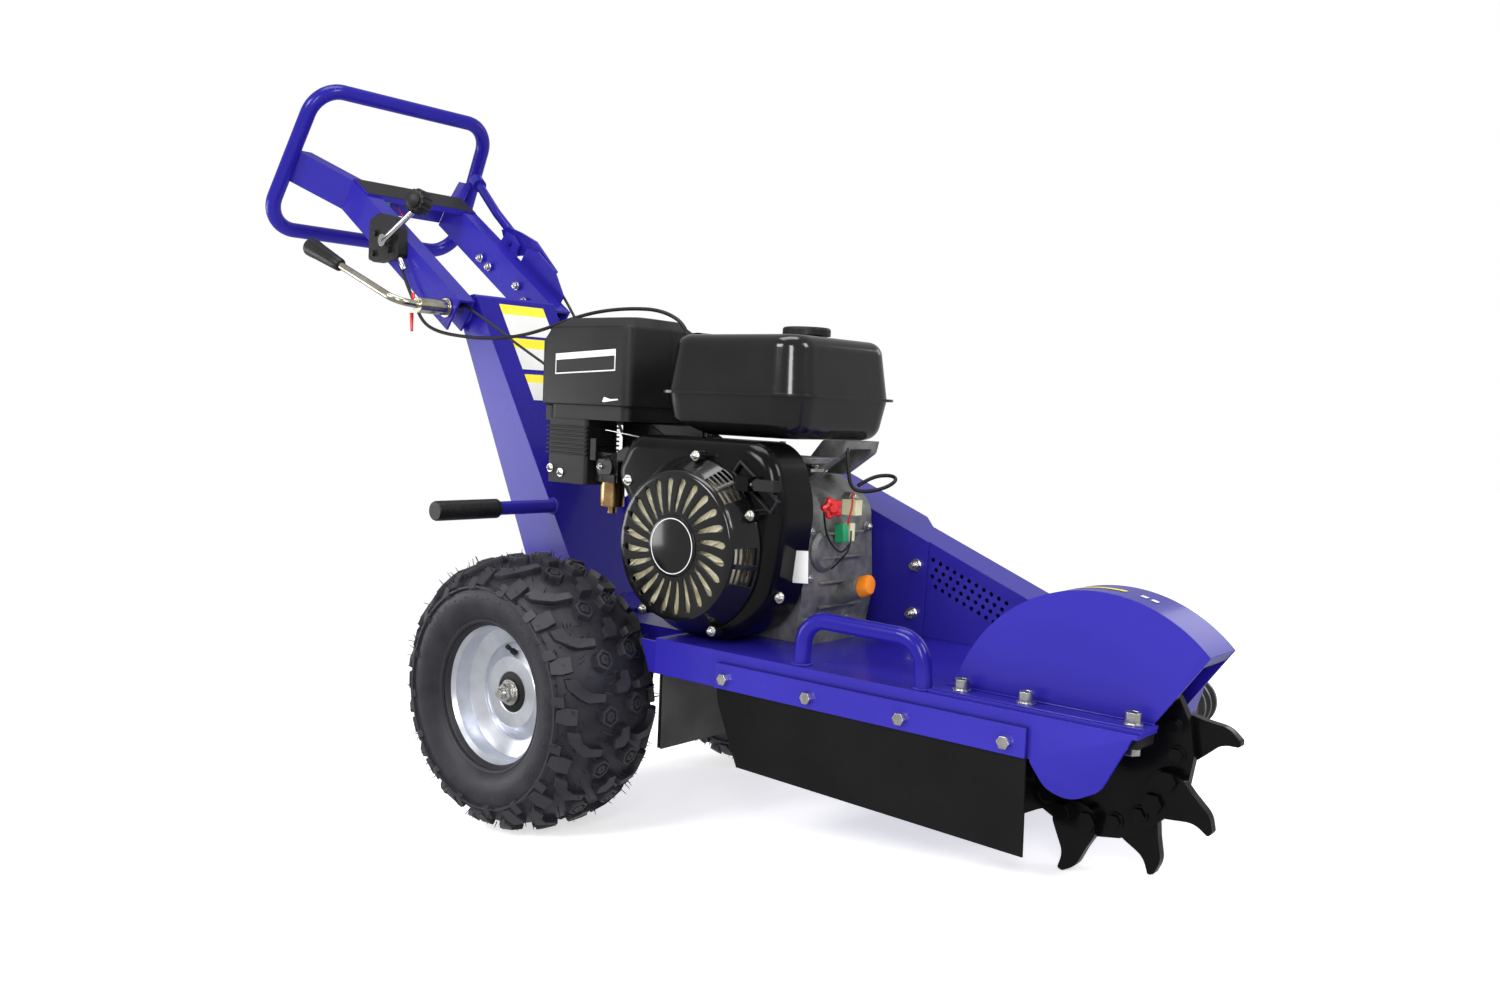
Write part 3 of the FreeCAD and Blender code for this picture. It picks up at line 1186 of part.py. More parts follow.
# --------------------------------------------------------------------------------------------------
# Resting attitude, checks and export
# --------------------------------------------------------------------------------------------------
def lowest_tooth(tilt):
    """Height of the lowest claw corner above the ground when the deck is tilted nose down."""
    centre = (size.cutter_along, size.cutter_up)
    corners = [swing(point, angle, centre) for angle in TOOTH_ANGLES for point in CLAW]
    return min(size.tyre_radius - x * math.sin(tilt) + z * math.cos(tilt) for x, z, *_ in corners)


def resting_tilt():
    low, high = 0.0, 0.3
    for _ in range(60):
        middle = (low + high) / 2
        low, high = (middle, high) if lowest_tooth(middle) > 0 else (low, middle)
    return low


doc.recompute()
tilt = resting_tilt()
rotation = FreeCAD.Rotation(Vector(0, 1, 0), math.degrees(tilt))
level = FreeCAD.Placement(Vector(0, 0, size.tyre_radius), rotation)


def extent(label):
    shape = nodes[label].Shape.copy()
    shape.Placement = level.multiply(shape.Placement)
    return shape.optimalBoundingBox(False)


rearmost = extent("handle_loop").XMin
foremost = max(extent("cutter_guard").XMax, extent("cutter_teeth").XMax)
rest = FreeCAD.Placement(Vector(-(rearmost + foremost) / 2, 0, size.tyre_radius), rotation)
for label, obj in nodes.items():
    obj.Label = label
    obj.Placement = rest.multiply(obj.Placement)
doc.recompute()

for obj in doc.Objects:
    if "Invalid" in obj.State or "Error" in obj.State:
        raise RuntimeError(f"{obj.Name} failed: {obj.State}")
for label, obj in nodes.items():
    if obj.Shape.isNull() or not obj.Shape.isValid():
        raise RuntimeError(f"{label} has no valid shape")
for label, obj in nodes.items():
    obj.Shape.exportStep(f"parts/{label}.step")
print(f"{len(nodes)} sub-parts, tilt {math.degrees(tilt):.3f} deg, axle x {rest.Base.x:.3f} mm")
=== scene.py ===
"""The stump grinder's looks: camera, light, procedural materials and the detail CAD leaves plain."""

import json
import math
import random

import bmesh
import bpy
from mathutils import Matrix, Quaternion, Vector


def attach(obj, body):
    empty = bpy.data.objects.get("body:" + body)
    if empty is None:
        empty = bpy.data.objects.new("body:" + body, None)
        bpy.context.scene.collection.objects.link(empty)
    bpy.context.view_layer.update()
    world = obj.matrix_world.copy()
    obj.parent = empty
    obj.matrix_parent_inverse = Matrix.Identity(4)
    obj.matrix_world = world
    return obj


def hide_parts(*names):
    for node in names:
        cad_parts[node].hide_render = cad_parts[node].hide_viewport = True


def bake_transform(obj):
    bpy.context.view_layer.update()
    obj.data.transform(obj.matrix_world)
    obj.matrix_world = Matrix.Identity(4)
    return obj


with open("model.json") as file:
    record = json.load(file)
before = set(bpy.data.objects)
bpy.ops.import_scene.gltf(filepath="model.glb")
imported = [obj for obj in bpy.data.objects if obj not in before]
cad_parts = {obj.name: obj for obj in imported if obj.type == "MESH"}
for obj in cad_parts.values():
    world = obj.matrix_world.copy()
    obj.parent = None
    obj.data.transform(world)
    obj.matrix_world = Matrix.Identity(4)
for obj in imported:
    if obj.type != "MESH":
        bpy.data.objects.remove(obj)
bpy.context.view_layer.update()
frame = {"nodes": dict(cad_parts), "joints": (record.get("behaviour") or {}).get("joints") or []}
random.seed(7)
MM = 0.001

# --------------------------------------------------------------------------------------------------
# Places: the deck's own axes (X forward, Y left, Z up from the wheel axle, millimetres)
# --------------------------------------------------------------------------------------------------
JOINT = {joint["name"]: joint for joint in frame["joints"]}
AXLE = Vector(JOINT["wheel_right_spin"]["pos_m"])
AXLE.y = 0.0
CUTTER = Vector(JOINT["cutter_spin"]["pos_m"])
CUTTER_ON_DECK = Vector((836.0, 0.0, 72.0))
PIVOT = Vector((-412.0, 0.0, 582.0))
CRANK = Vector((245.0, 0.0, 237.0))
TRACK = 270.0
TYRE_RADIUS = 203.0
reach = CUTTER - AXLE
TILT = math.atan2(CUTTER_ON_DECK.z, CUTTER_ON_DECK.x) - math.atan2(reach.z, reach.x)
DECK = Matrix.Translation(AXLE) @ Matrix.Rotation(TILT, 4, "Y") @ Matrix.Scale(MM, 4)
SLOPE = math.radians(34.7)
ARM = Vector((-math.cos(SLOPE), 0, math.sin(SLOPE)))
RISE = Vector((math.sin(SLOPE), 0, math.cos(SLOPE)))


def on_arm(along, up, y):
    """A point on the handle's arms: its distance up the slope, above it, and to the left."""
    return PIVOT + ARM * along + RISE * up + Vector((0, y, 0))


def arm_frame(along, y, up):
    """The same point for prism, which gives its Y second."""
    return on_arm(along, up, y)


# --------------------------------------------------------------------------------------------------
# Camera, floor and light
# --------------------------------------------------------------------------------------------------
def aim(obj, place, forward, right):
    """Stands an object at a place in deck axes, looking along forward with right to its right."""
    turn = DECK.to_3x3().normalized()
    back = -(turn @ Vector(forward)).normalized()
    side = (turn @ Vector(right)).normalized()
    up = back.cross(side).normalized()
    basis = Matrix((side, up, back)).transposed().to_4x4()
    obj.matrix_world = Matrix.Translation(DECK @ Vector(place)) @ basis


# The photograph's view, in deck axes, found by fitting the tyre and the engine in the picture
CAMERA_PLACE = (1444.1, -1517.0, 433.3)
CAMERA_FORWARD = (-0.6362, 0.7681, -0.0729)
CAMERA_RIGHT = (0.7674, 0.6397, 0.0427)
CAMERA_LENS = 30.75

camera_data = bpy.data.cameras.new("camera")
camera_data.lens = CAMERA_LENS
camera_data.sensor_width = 36.0
camera_data.clip_end = 60.0
camera = bpy.data.objects.new("camera", camera_data)
bpy.context.scene.collection.objects.link(camera)
aim(camera, CAMERA_PLACE, CAMERA_FORWARD, CAMERA_RIGHT)
bpy.context.scene.camera = camera


def area_light(name, place, target, size, power, glossy=True):
    """A softbox; one that isn't glossy lights the machine without showing as a reflection."""
    data = bpy.data.lights.new(name, "AREA")
    data.shape = "RECTANGLE"
    data.size, data.size_y = size
    data.energy = power
    light = bpy.data.objects.new(name, data)
    bpy.context.scene.collection.objects.link(light)
    light.location = place
    light.rotation_euler = (Vector(target) - Vector(place)).to_track_quat("-Z", "Y").to_euler()
    light.visible_glossy = glossy


area_light("key_softbox", (-0.4, -3.4, 2.6), (0.0, 0.0, 0.45), (1.6, 1.1), 72)
area_light("top_softbox", (0.3, -0.2, 3.6), (0.1, 0.0, 0.4), (2.2, 1.4), 50)
area_light("side_strip", (2.1, -2.4, 1.3), (0.2, 0.0, 0.45), (0.62, 1.3), 36)
area_light("front_softbox", (3.4, 0.6, 2.2), (0.3, 0.0, 0.5), (0.9, 1.4), 44)
area_light("back_softbox", (0.2, 3.4, 2.0), (0.0, 0.0, 0.6), (2.0, 1.0), 20, glossy=False)
area_light("low_fill", (-2.6, -1.6, 0.8), (0.0, 0.0, 0.4), (1.4, 0.8), 18)
area_light("crown_card", (1.2, 3.2, 1.7), (0.85, -0.17, 0.35), (1.4, 1.0), 7)


def studio_world(seen, lit):
    """A plain white surround to look at, that lights the machine more softly than it looks."""
    world = bpy.data.worlds.new("studio")
    bpy.context.scene.world = world
    world.use_nodes = True
    tree = world.node_tree
    background = tree.nodes["Background"]
    background.inputs["Color"].default_value = (1.0, 1.0, 1.0, 1.0)
    rays = tree.nodes.new("ShaderNodeLightPath")
    level = tree.nodes.new("ShaderNodeMapRange")
    level.inputs["To Min"].default_value = lit
    level.inputs["To Max"].default_value = seen
    tree.links.new(rays.outputs["Is Camera Ray"], level.inputs["Value"])
    tree.links.new(level.outputs["Result"], background.inputs["Strength"])


studio_world(1.0, 0.46)
bpy.context.scene.view_settings.view_transform = "Standard"


# --------------------------------------------------------------------------------------------------
# Materials
# --------------------------------------------------------------------------------------------------
CLEAR_COAT_ROUGHNESS = 0.08
TONE_SPLIT = (0.35, 0.68)
# Pointiness band and share for the lighter edge colour: a painted edge highlight on the blue paint, scuffed
# lighter edges on the tyre
EDGE_SCUFF_AND_HIGHLIGHT_BAND = (0.53, 0.62)
EDGE_SCUFF_AND_HIGHLIGHT_SHARE = 0.35
RELIEF_DEPTH = 0.0006


def shade(name, dark, light, roughness, metallic=0.0, coat=0.0, grain=900.0, bump=0.1, blotch=14.0,
          edge_scuff_and_highlight=None, bevel=0.0012, specular=0.5):
    """A worked surface: two tones in soft blotches, rough grain, a little bump, rounded edges, and a
    lighter colour on sharp edges.
    """
    mat = bpy.data.materials.new(name)
    mat.use_nodes = True
    tree = mat.node_tree
    shader = tree.nodes["Principled BSDF"]
    shader.inputs["Metallic"].default_value = metallic
    shader.inputs["Coat Weight"].default_value = coat
    shader.inputs["Coat Roughness"].default_value = CLEAR_COAT_ROUGHNESS
    shader.inputs["Specular IOR Level"].default_value = specular
    place = tree.nodes.new("ShaderNodeTexCoord")
    clouds = tree.nodes.new("ShaderNodeTexNoise")
    clouds.inputs["Scale"].default_value = blotch
    clouds.inputs["Detail"].default_value = 6.0
    tones = tree.nodes.new("ShaderNodeValToRGB")
    for stop, position, colour in zip(tones.color_ramp.elements, TONE_SPLIT, (dark, light)):
        stop.position = position
        stop.color = (*colour, 1)
    specks = tree.nodes.new("ShaderNodeTexNoise")
    specks.inputs["Scale"].default_value = grain
    specks.inputs["Detail"].default_value = 3.0
    span = tree.nodes.new("ShaderNodeMapRange")
    span.inputs["To Min"].default_value = roughness * 0.82
    span.inputs["To Max"].default_value = min(1.0, roughness * 1.25)
    relief = tree.nodes.new("ShaderNodeBump")
    relief.inputs["Strength"].default_value = bump
    relief.inputs["Distance"].default_value = RELIEF_DEPTH
    link = tree.links.new
    link(place.outputs["Object"], clouds.inputs["Vector"])
    link(place.outputs["Object"], specks.inputs["Vector"])
    link(clouds.outputs["Fac"], tones.inputs["Fac"])
    link(clouds.outputs["Fac"], span.inputs["Value"])
    link(specks.outputs["Fac"], relief.inputs["Height"])
    if bevel:
        edge = tree.nodes.new("ShaderNodeBevel")
        edge.samples = 4
        edge.inputs["Radius"].default_value = bevel
        link(edge.outputs["Normal"], relief.inputs["Normal"])
    link(tones.outputs["Color"], shader.inputs["Base Color"])
    link(span.outputs["Result"], shader.inputs["Roughness"])
    link(relief.outputs["Normal"], shader.inputs["Normal"])
    # Sharp edges mixed towards a lighter colour: on the blue paint this is a painted edge highlight, on the
    # tyre scuffed lighter rubber
    if edge_scuff_and_highlight:
        edge_sharpness = tree.nodes.new("ShaderNodeNewGeometry")
        band = tree.nodes.new("ShaderNodeMapRange")
        band.inputs["From Min"].default_value, band.inputs["From Max"].default_value = EDGE_SCUFF_AND_HIGHLIGHT_BAND
        band.inputs["To Max"].default_value = EDGE_SCUFF_AND_HIGHLIGHT_SHARE
        mix = tree.nodes.new("ShaderNodeMix")
        mix.data_type = "RGBA"
        mix.inputs["B"].default_value = (*edge_scuff_and_highlight, 1)
        link(edge_sharpness.outputs["Pointiness"], band.inputs["Value"])
        link(band.outputs["Result"], mix.inputs["Factor"])
        link(tones.outputs["Color"], mix.inputs["A"])
        link(mix.outputs["Result"], shader.inputs["Base Color"])
    return mat


# The blue paint's lighter blue on sharp edges is a painted edge highlight
BLUE = shade("blue_powder_coat", (0.010, 0.006, 0.200), (0.014, 0.009, 0.245), 0.25, coat=0.16, grain=420,
             bump=0.07, blotch=5, edge_scuff_and_highlight=(0.05, 0.04, 0.42), specular=0.20)
BLACK_GLOSS = shade("black_gloss_paint", (0.0030, 0.0030, 0.0034), (0.0055, 0.0055, 0.0062), 0.16,
                    coat=0.35, grain=300, bump=0.05, specular=0.35)
# A darker, duller copy of the black gloss paint for the cutter and blower housing: painted shade for the
# dark surround they reflect
BLACK_SHADED = shade("black_paint_darkened_for_shade", (0.0016, 0.0016, 0.0020), (0.0030, 0.0030, 0.0034), 0.18, grain=300,
                   bump=0.05, specular=0.22)
BLACK_SATIN = shade("black_moulded_plastic", (0.0055, 0.0055, 0.006), (0.010, 0.010, 0.011), 0.42,
                    grain=1800, bump=0.25, specular=0.32)
BLACK_CAST = shade("black_painted_casting", (0.0035, 0.0035, 0.004), (0.009, 0.009, 0.010), 0.30, coat=0.2,
                   grain=600, bump=0.55, specular=0.35)
TYRE = shade("tyre_rubber", (0.0085, 0.0082, 0.0125), (0.0165, 0.0160, 0.0235), 0.44, grain=1200, bump=0.5,
             blotch=30, edge_scuff_and_highlight=(0.035, 0.035, 0.042), specular=0.42)
SHEET_RUBBER = shade("flap_rubber", (0.003, 0.003, 0.0032), (0.005, 0.005, 0.0054), 0.55, grain=1500,
                     bump=0.4, blotch=9, specular=0.18)
RIM = shade("rim_galvanised", (0.62, 0.64, 0.70), (0.80, 0.82, 0.88), 0.30, metallic=0.9, grain=260,
            bump=0.18, blotch=22)
ZINC = shade("zinc_plate", (0.50, 0.49, 0.46), (0.76, 0.75, 0.72), 0.24, metallic=1.0, grain=900, bump=0.12,
             blotch=60)
YELLOW_ZINC = shade("yellow_zinc_plate", (0.48, 0.45, 0.35), (0.68, 0.66, 0.55), 0.22, metallic=1.0,
                    grain=700, bump=0.1, blotch=40)
CHROME = shade("chrome_plate", (0.66, 0.66, 0.67), (0.78, 0.78, 0.79), 0.10, metallic=1.0, grain=400,
               bump=0.03)
STEEL = shade("turned_steel", (0.30, 0.30, 0.31), (0.46, 0.46, 0.47), 0.33, metallic=1.0, grain=1500,
              bump=0.2, blotch=50)
SKIRT = shade("skirt_galvanised", (0.07, 0.07, 0.07), (0.12, 0.12, 0.118), 0.42, metallic=0.8, grain=700,
              bump=0.25, blotch=10)
ALUMINIUM = shade("sand_cast_aluminium", (0.14, 0.14, 0.14), (0.26, 0.26, 0.255), 0.50, metallic=0.55,
                  grain=500, bump=0.9, blotch=45)
BRASS = shade("float_bowl_brass", (0.46, 0.28, 0.12), (0.70, 0.46, 0.22), 0.24, metallic=1.0, grain=800,
              bump=0.1, blotch=40)
FAN = shade("fan_gold_chromate", (0.66, 0.60, 0.40), (0.90, 0.86, 0.66), 0.38, metallic=0.15, grain=800,
            bump=0.2, blotch=40)
RED = shade("red_plastic", (0.46, 0.005, 0.007), (0.62, 0.010, 0.010), 0.30, coat=0.2, grain=800, bump=0.1)
ORANGE = shade("orange_plastic", (0.80, 0.20, 0.006), (0.94, 0.29, 0.010), 0.34, grain=900, bump=0.15)
GREEN = shade("green_connector", (0.01, 0.22, 0.08), (0.02, 0.34, 0.14), 0.34, grain=800, bump=0.1)
WHITE = shade("white_sticker", (0.66, 0.66, 0.65), (0.74, 0.74, 0.73), 0.42, grain=1200, bump=0.05, bevel=0)
YELLOW = shade("yellow_sticker", (0.78, 0.66, 0.02), (0.86, 0.74, 0.04), 0.40, grain=1200, bump=0.05,
               bevel=0)
IVORY = shade("ivory_plastic", (0.60, 0.58, 0.34), (0.72, 0.70, 0.46), 0.36, grain=900, bump=0.1)
FOAM = shade("filter_foam", (0.35, 0.30, 0.16), (0.52, 0.46, 0.28), 0.90, grain=300, bump=1.0)
ROPE = shade("rope_nylon", (0.50, 0.50, 0.46), (0.66, 0.66, 0.62), 0.80, grain=1400, bump=0.8)
FLOOR = shade("studio_floor", (0.84, 0.84, 0.84), (0.86, 0.86, 0.86), 0.90, grain=40, bump=0.02, blotch=1,
              bevel=0, specular=0.1)
floor_shader = FLOOR.node_tree.nodes["Principled BSDF"]
floor_shader.inputs["Emission Color"].default_value = (1, 1, 1, 1)
floor_shader.inputs["Emission Strength"].default_value = 0.62

FINISHES = (
    (BLUE, "deck_frame riser_column grab_bars belt_guard_backplate belt_guard_cover cutter_guard "
           "flap_strips handle_arms handle_loop handle_panel bail_lever bail_bracket"),
    (RIM, "rim_left rim_right"),
    (TYRE, "tyre_left tyre_right"),
    (SHEET_RUBBER, "rubber_flaps drive_belts"),
    (STEEL, "axle cutter_shaft shaft_bearings crankshaft cutter_pulley clutch_pulley"),
    (ZINC, "axle_nuts chassis_bolts governor_linkage"),
    (YELLOW_ZINC, "clamp_lever"),
    (BLACK_SHADED, "cutter_disc cutter_teeth tooth_bolts blower_housing"),
    (BLACK_CAST, "muffler_shield muffler bearing_blocks cylinder carburettor"),
    (BLACK_GLOSS, "recoil_cover fuel_tank"),
    (ALUMINIUM, "crankcase tank_bracket valve_cover"),
    (BLACK_SATIN, "grab_bar_grips air_cleaner_cover air_cleaner_base fuel_cap throttle_housing spark_plug "
                  "control_cables recoil_grip choke_lever fuel_valve_lever"),
    (RED, "engine_switch"),
    (ORANGE, "oil_cap"),
    (BRASS, "float_bowl"),
    (FOAM, "air_filter"),
    (ROPE, "starter_rope"),
    (CHROME, "throttle_lever"),
    (FAN, "flywheel"),
    (IVORY, "ignition_module"),
)
for finish, node_names in FINISHES:
    for node_name in node_names.split():
        materials = frame["nodes"][node_name].data.materials
        materials.clear()
        materials.append(finish)


# --------------------------------------------------------------------------------------------------
# Mesh helpers, all in deck axes and millimetres
# --------------------------------------------------------------------------------------------------
def piece(name, mesh, finish, body, smooth=True, replaces=(), bevel=0.0):
    """Turns a bmesh drawn in deck axes into a piece that rides on a body."""
    mesh.transform(DECK)
    bmesh.ops.recalc_face_normals(mesh, faces=mesh.faces)
    data = bpy.data.meshes.new(name)
    mesh.to_mesh(data)
    mesh.free()
    obj = bpy.data.objects.new(name, data)
    bpy.context.scene.collection.objects.link(obj)
    data.materials.append(finish)
    if smooth:
        data.shade_smooth()
        data.set_sharp_from_angle(angle=math.radians(38))
    if bevel:
        rounding = obj.modifiers.new("rounded_edges", "BEVEL")
        rounding.width = bevel * MM
        rounding.segments = 2
        rounding.limit_method = "ANGLE"
    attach(obj, body)
    if replaces:
        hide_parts(*replaces)
    return obj


def bridge(mesh, first, second):
    """Joins two rings of as many vertices with a band of faces."""
    for index in range(len(first)):
        following = (index + 1) % len(first)
        mesh.faces.new((first[index], first[following], second[following], second[index]))


def lathe(mesh, profile, centre, axis, turns=64, closed=False):
    """Revolves (radius, along) points about an axis through centre; closed joins last to first."""
    axis = Vector(axis).normalized()
    start = axis.orthogonal().normalized()
    rings = []
    for radius, along in profile:
        ring = []
        for step in range(turns):
            ray = Quaternion(axis, 2 * math.pi * step / turns) @ start
            ring.append(mesh.verts.new(Vector(centre) + axis * along + ray * radius))
        rings.append(ring)
    for first, second in zip(rings, rings[1:]):
        bridge(mesh, first, second)
    if closed:
        bridge(mesh, rings[-1], rings[0])
    else:
        for ring in (rings[0], rings[-1]):
            mesh.faces.new(ring)
    return rings


def straight(x, y, z):
    return Vector((x, y, z))


def prism(mesh, outline, low, high, make=straight):
    """Extrudes an (x, z) outline from Y low to Y high; make turns the three into a point."""
    near = [mesh.verts.new(make(x, low, z)) for x, z in outline]
    far = [mesh.verts.new(make(x, high, z)) for x, z in outline]
    mesh.faces.new(near)
    mesh.faces.new(far)
    bridge(mesh, near, far)


def strand(name, points, diameter, finish, body):
    """A smooth wire or cable through given points."""
    curve = bpy.data.curves.new(name, "CURVE")
    curve.dimensions = "3D"
    spline = curve.splines.new("NURBS")
    spline.points.add(len(points) - 1)
    for point, place in zip(spline.points, points):
        point.co = (*(DECK @ Vector(place)), 1.0)
    spline.order_u = 3
    spline.use_endpoint_u = True
    curve.resolution_u = 10
    curve.bevel_depth = diameter / 2 * MM
    curve.bevel_resolution = 3
    curve.use_fill_caps = True
    curve.materials.append(finish)
    obj = bpy.data.objects.new(name, curve)
    bpy.context.scene.collection.objects.link(obj)
    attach(obj, body)
    return obj


def hex_bolt(mesh, place, axis, across=13.0, height=6.0, washer=0.0):
    """A chamfered hexagon head standing on a face, with its washer and thread end."""
    axis = Vector(axis).normalized()
    if washer:
        lathe(mesh, [(0.1, 0), (washer, 0), (washer, 1.6), (0.1, 1.6)], place, axis, 24)
    base = 1.6 if washer else 0.0
    corner = across / 2 / math.cos(math.pi / 6)
    lathe(mesh, [(0.1, base), (corner, base), (corner, base + height * 0.85),
                 (corner * 0.84, base + height), (0.1, base + height)], place, axis, 6)
    lathe(mesh, [(across * 0.24, base + height), (across * 0.24, base + height + 2.5),
                 (0.1, base + height + 3)], place, axis, 16)


# --------------------------------------------------------------------------------------------------
# Tyres: a smooth carcass with hexagonal knobs, zigzag bars, shoulder lugs and moulding hairs
# --------------------------------------------------------------------------------------------------
# Half section of the carcass from the tread's middle to the bead: (distance from the middle, radius)
CARCASS = [(0, 192), (30, 191), (55, 187), (72, 179), (84, 168), (91, 154), (93, 140), (88, 122), (78, 109),
           (66, 101), (60, 99)]
KNOB_HEIGHT = 11.0


def carcass_point(arc):
    """Across, radius and outward direction at a distance along the half section from its middle."""
    side = -1 if arc < 0 else 1
    left = abs(arc)
    for (y0, r0), (y1, r1) in zip(CARCASS, CARCASS[1:]):
        length = math.hypot(y1 - y0, r1 - r0)
        if left <= length or (y1, r1) == CARCASS[-1]:
            part = left / length
            outward = (side * -(r1 - r0) / length, (y1 - y0) / length)
            return side * (y0 + (y1 - y0) * part), r0 + (r1 - r0) * part, outward
        left -= length


def on_tyre(round_mm, arc, lift, centre_y):
    """A point given by its distance round the tread, its arc across it and its height above it."""
    y, radius, (out_y, out_r) = carcass_point(arc)
    angle = round_mm / TYRE_RADIUS
    radius += out_r * lift
    return Vector((radius * math.cos(angle), centre_y + y + out_y * lift, radius * math.sin(angle)))


def knob(mesh, outline, round_mm, arc, centre_y, height=KNOB_HEIGHT, mirror=1, steps=None):
    """A raised lug: its outline is (round, across) about its own middle; steps are (size, height) rings."""
    rings = []
    for scale, lift in steps or ((1.0, -3.0), (0.97, height * 0.55), (0.90, height)):
        ring = []
        for a, b in outline:
            spot = on_tyre(round_mm + a * scale, arc + mirror * b * scale, lift, centre_y)
            ring.append(mesh.verts.new(spot))
        rings.append(ring)
    for low, high in zip(rings, rings[1:]):
        bridge(mesh, low, high)
    mesh.faces.new(rings[-1])


HEXAGON = [(17 * math.cos(math.radians(a)), 15 * math.sin(math.radians(a))) for a in range(0, 360, 60)]
HEXAGON_STEPS = ((1.0, -3.0), (0.96, 8.0), (0.90, KNOB_HEIGHT), (0.66, KNOB_HEIGHT),
                 (0.62, KNOB_HEIGHT - 2.4), (0.50, KNOB_HEIGHT - 2.4), (0.45, KNOB_HEIGHT),
                 (0.12, KNOB_HEIGHT), (0.08, KNOB_HEIGHT - 1.5))
ZIGZAG = [(-20, -26), (-8, -28), (-4, -4), (6, 8), (22, 14), (24, 30), (8, 28), (-10, 14), (-18, 2)]
BRACKET = [(-16, -12), (-2, -14), (4, -4), (16, -2), (17, 12), (-4, 16), (-16, 8)]
SHOULDER = [(-14, -12), (12, -14), (15, 0), (11, 14), (-10, 16), (-15, 2)]
BLOCK = [(-10, -9), (9, -9), (11, 3), (7, 10), (-8, 9)]
PITCHES = 16
WALL_PIPS = 72
HAIRS = 460
TREAD_EDGE = 80
GROUND_HAIR, TREAD_HAIR, WALL_HAIR = 11, 19, 14


def build_tyre(side, name):
    """The tyre with its knobs and wall rings, its moulding hairs, and the hub's seal and valve."""
    centre_y = side * TRACK
    profile = [(r, -y) for y, r in reversed(CARCASS)] + [(r, y) for y, r in CARCASS[1:]]
    lining = [(r - 6, y * 0.92) for r, y in reversed(profile[2:-2])]
    mesh = bmesh.new()
    lathe(mesh, profile + lining, (0, centre_y, 0), (0, 1, 0), 120, closed=True)
    for y in (-1, 1):
        ring = [(157, y * 88), (158, y * 93.5), (161, y * 93.5), (163, y * 87)]
        lathe(mesh, ring, (0, centre_y, 0), (0, 1, 0), 120, closed=True)
        lip = [(106, y * 70), (107, y * 78), (110, y * 80), (113, y * 77), (112, y * 70)]
        lathe(mesh, lip, (0, centre_y, 0), (0, 1, 0), 120, closed=True)
    step = 2 * math.pi * TYRE_RADIUS / PITCHES
    for index in range(PITCHES):
        at = index * step
        for mirror in (-1, 1):
            shift = 0 if mirror < 0 else step * 0.14
            knob(mesh, HEXAGON, at + shift, mirror * 25, centre_y, steps=HEXAGON_STEPS)
            knob(mesh, ZIGZAG, at + step * 0.5 + shift, mirror * 56, centre_y, KNOB_HEIGHT - 1, mirror)
            knob(mesh, SHOULDER, at + step * 0.06 + shift, mirror * 84, centre_y, KNOB_HEIGHT - 3, mirror)
            knob(mesh, BLOCK, at + step * 0.34 + shift, mirror * 96, centre_y, KNOB_HEIGHT - 5, mirror)
        knob(mesh, BRACKET, at + step * 0.57, 0, centre_y)
    for number in range(WALL_PIPS):
        angle = 2 * math.pi * number / WALL_PIPS
        for y in (-1, 1):
            y_at, radius = centre_y + y * 90.6, 143 + 3 * (number % 2)
            spot = Vector((radius * math.cos(angle), y_at, radius * math.sin(angle)))
            lathe(mesh, [(1.6, 0), (1.2, 2.2), (0.1, 2.4)], spot, (0, y, 0), 6)
    tyre = piece(f"knobby_tyre_{name}", mesh, TYRE, f"wheel_{name}", replaces=(f"tyre_{name}",))
    # A hair near the ground is short enough to stay above the floor
    hairs = bmesh.new()
    for _ in range(HAIRS):
        arc = random.choice((-1, 1)) * random.uniform(15, 104)
        at = random.uniform(0, 2 * math.pi * TYRE_RADIUS)
        foot = on_tyre(at, arc, 2, centre_y)
        near_ground = foot.z < -170
        longest = GROUND_HAIR if near_ground else TREAD_HAIR if abs(arc) < TREAD_EDGE else WALL_HAIR
        tip = on_tyre(at + random.uniform(-5, 5), arc + random.uniform(-4, 4),
                      random.uniform(10.5, longest), centre_y)
        lathe(hairs, [(0.95, 0), (0.4, (tip - foot).length)], foot, tip - foot, 5)
    piece(f"tyre_hairs_{name}", hairs, TYRE, f"wheel_{name}")
    seal = bmesh.new()
    y = side * 296
    ring = [(17.5, 0), (30, 0), (31.5, 2), (30, 7), (26, 9), (17.5, 9)]
    lathe(seal, [(radius, y + side * out) for radius, out in ring], (0, 0, 0), (0, 1, 0), 48, closed=True)
    piece(f"hub_seal_{name}", seal, BLACK_SATIN, f"wheel_{name}")
    stem = bmesh.new()
    lathe(stem, [(0.1, 0), (4.4, 0), (4.4, 6), (2.8, 9), (2.8, 14), (3.6, 14), (3.6, 19), (0.1, 19.5)],
          (0, side * 299, 58), (0, side * 0.8, 0.6), 16)
    piece(f"valve_stem_{name}", stem, BLACK_SATIN, f"wheel_{name}")


build_tyre(-1, "right")
build_tyre(1, "left")


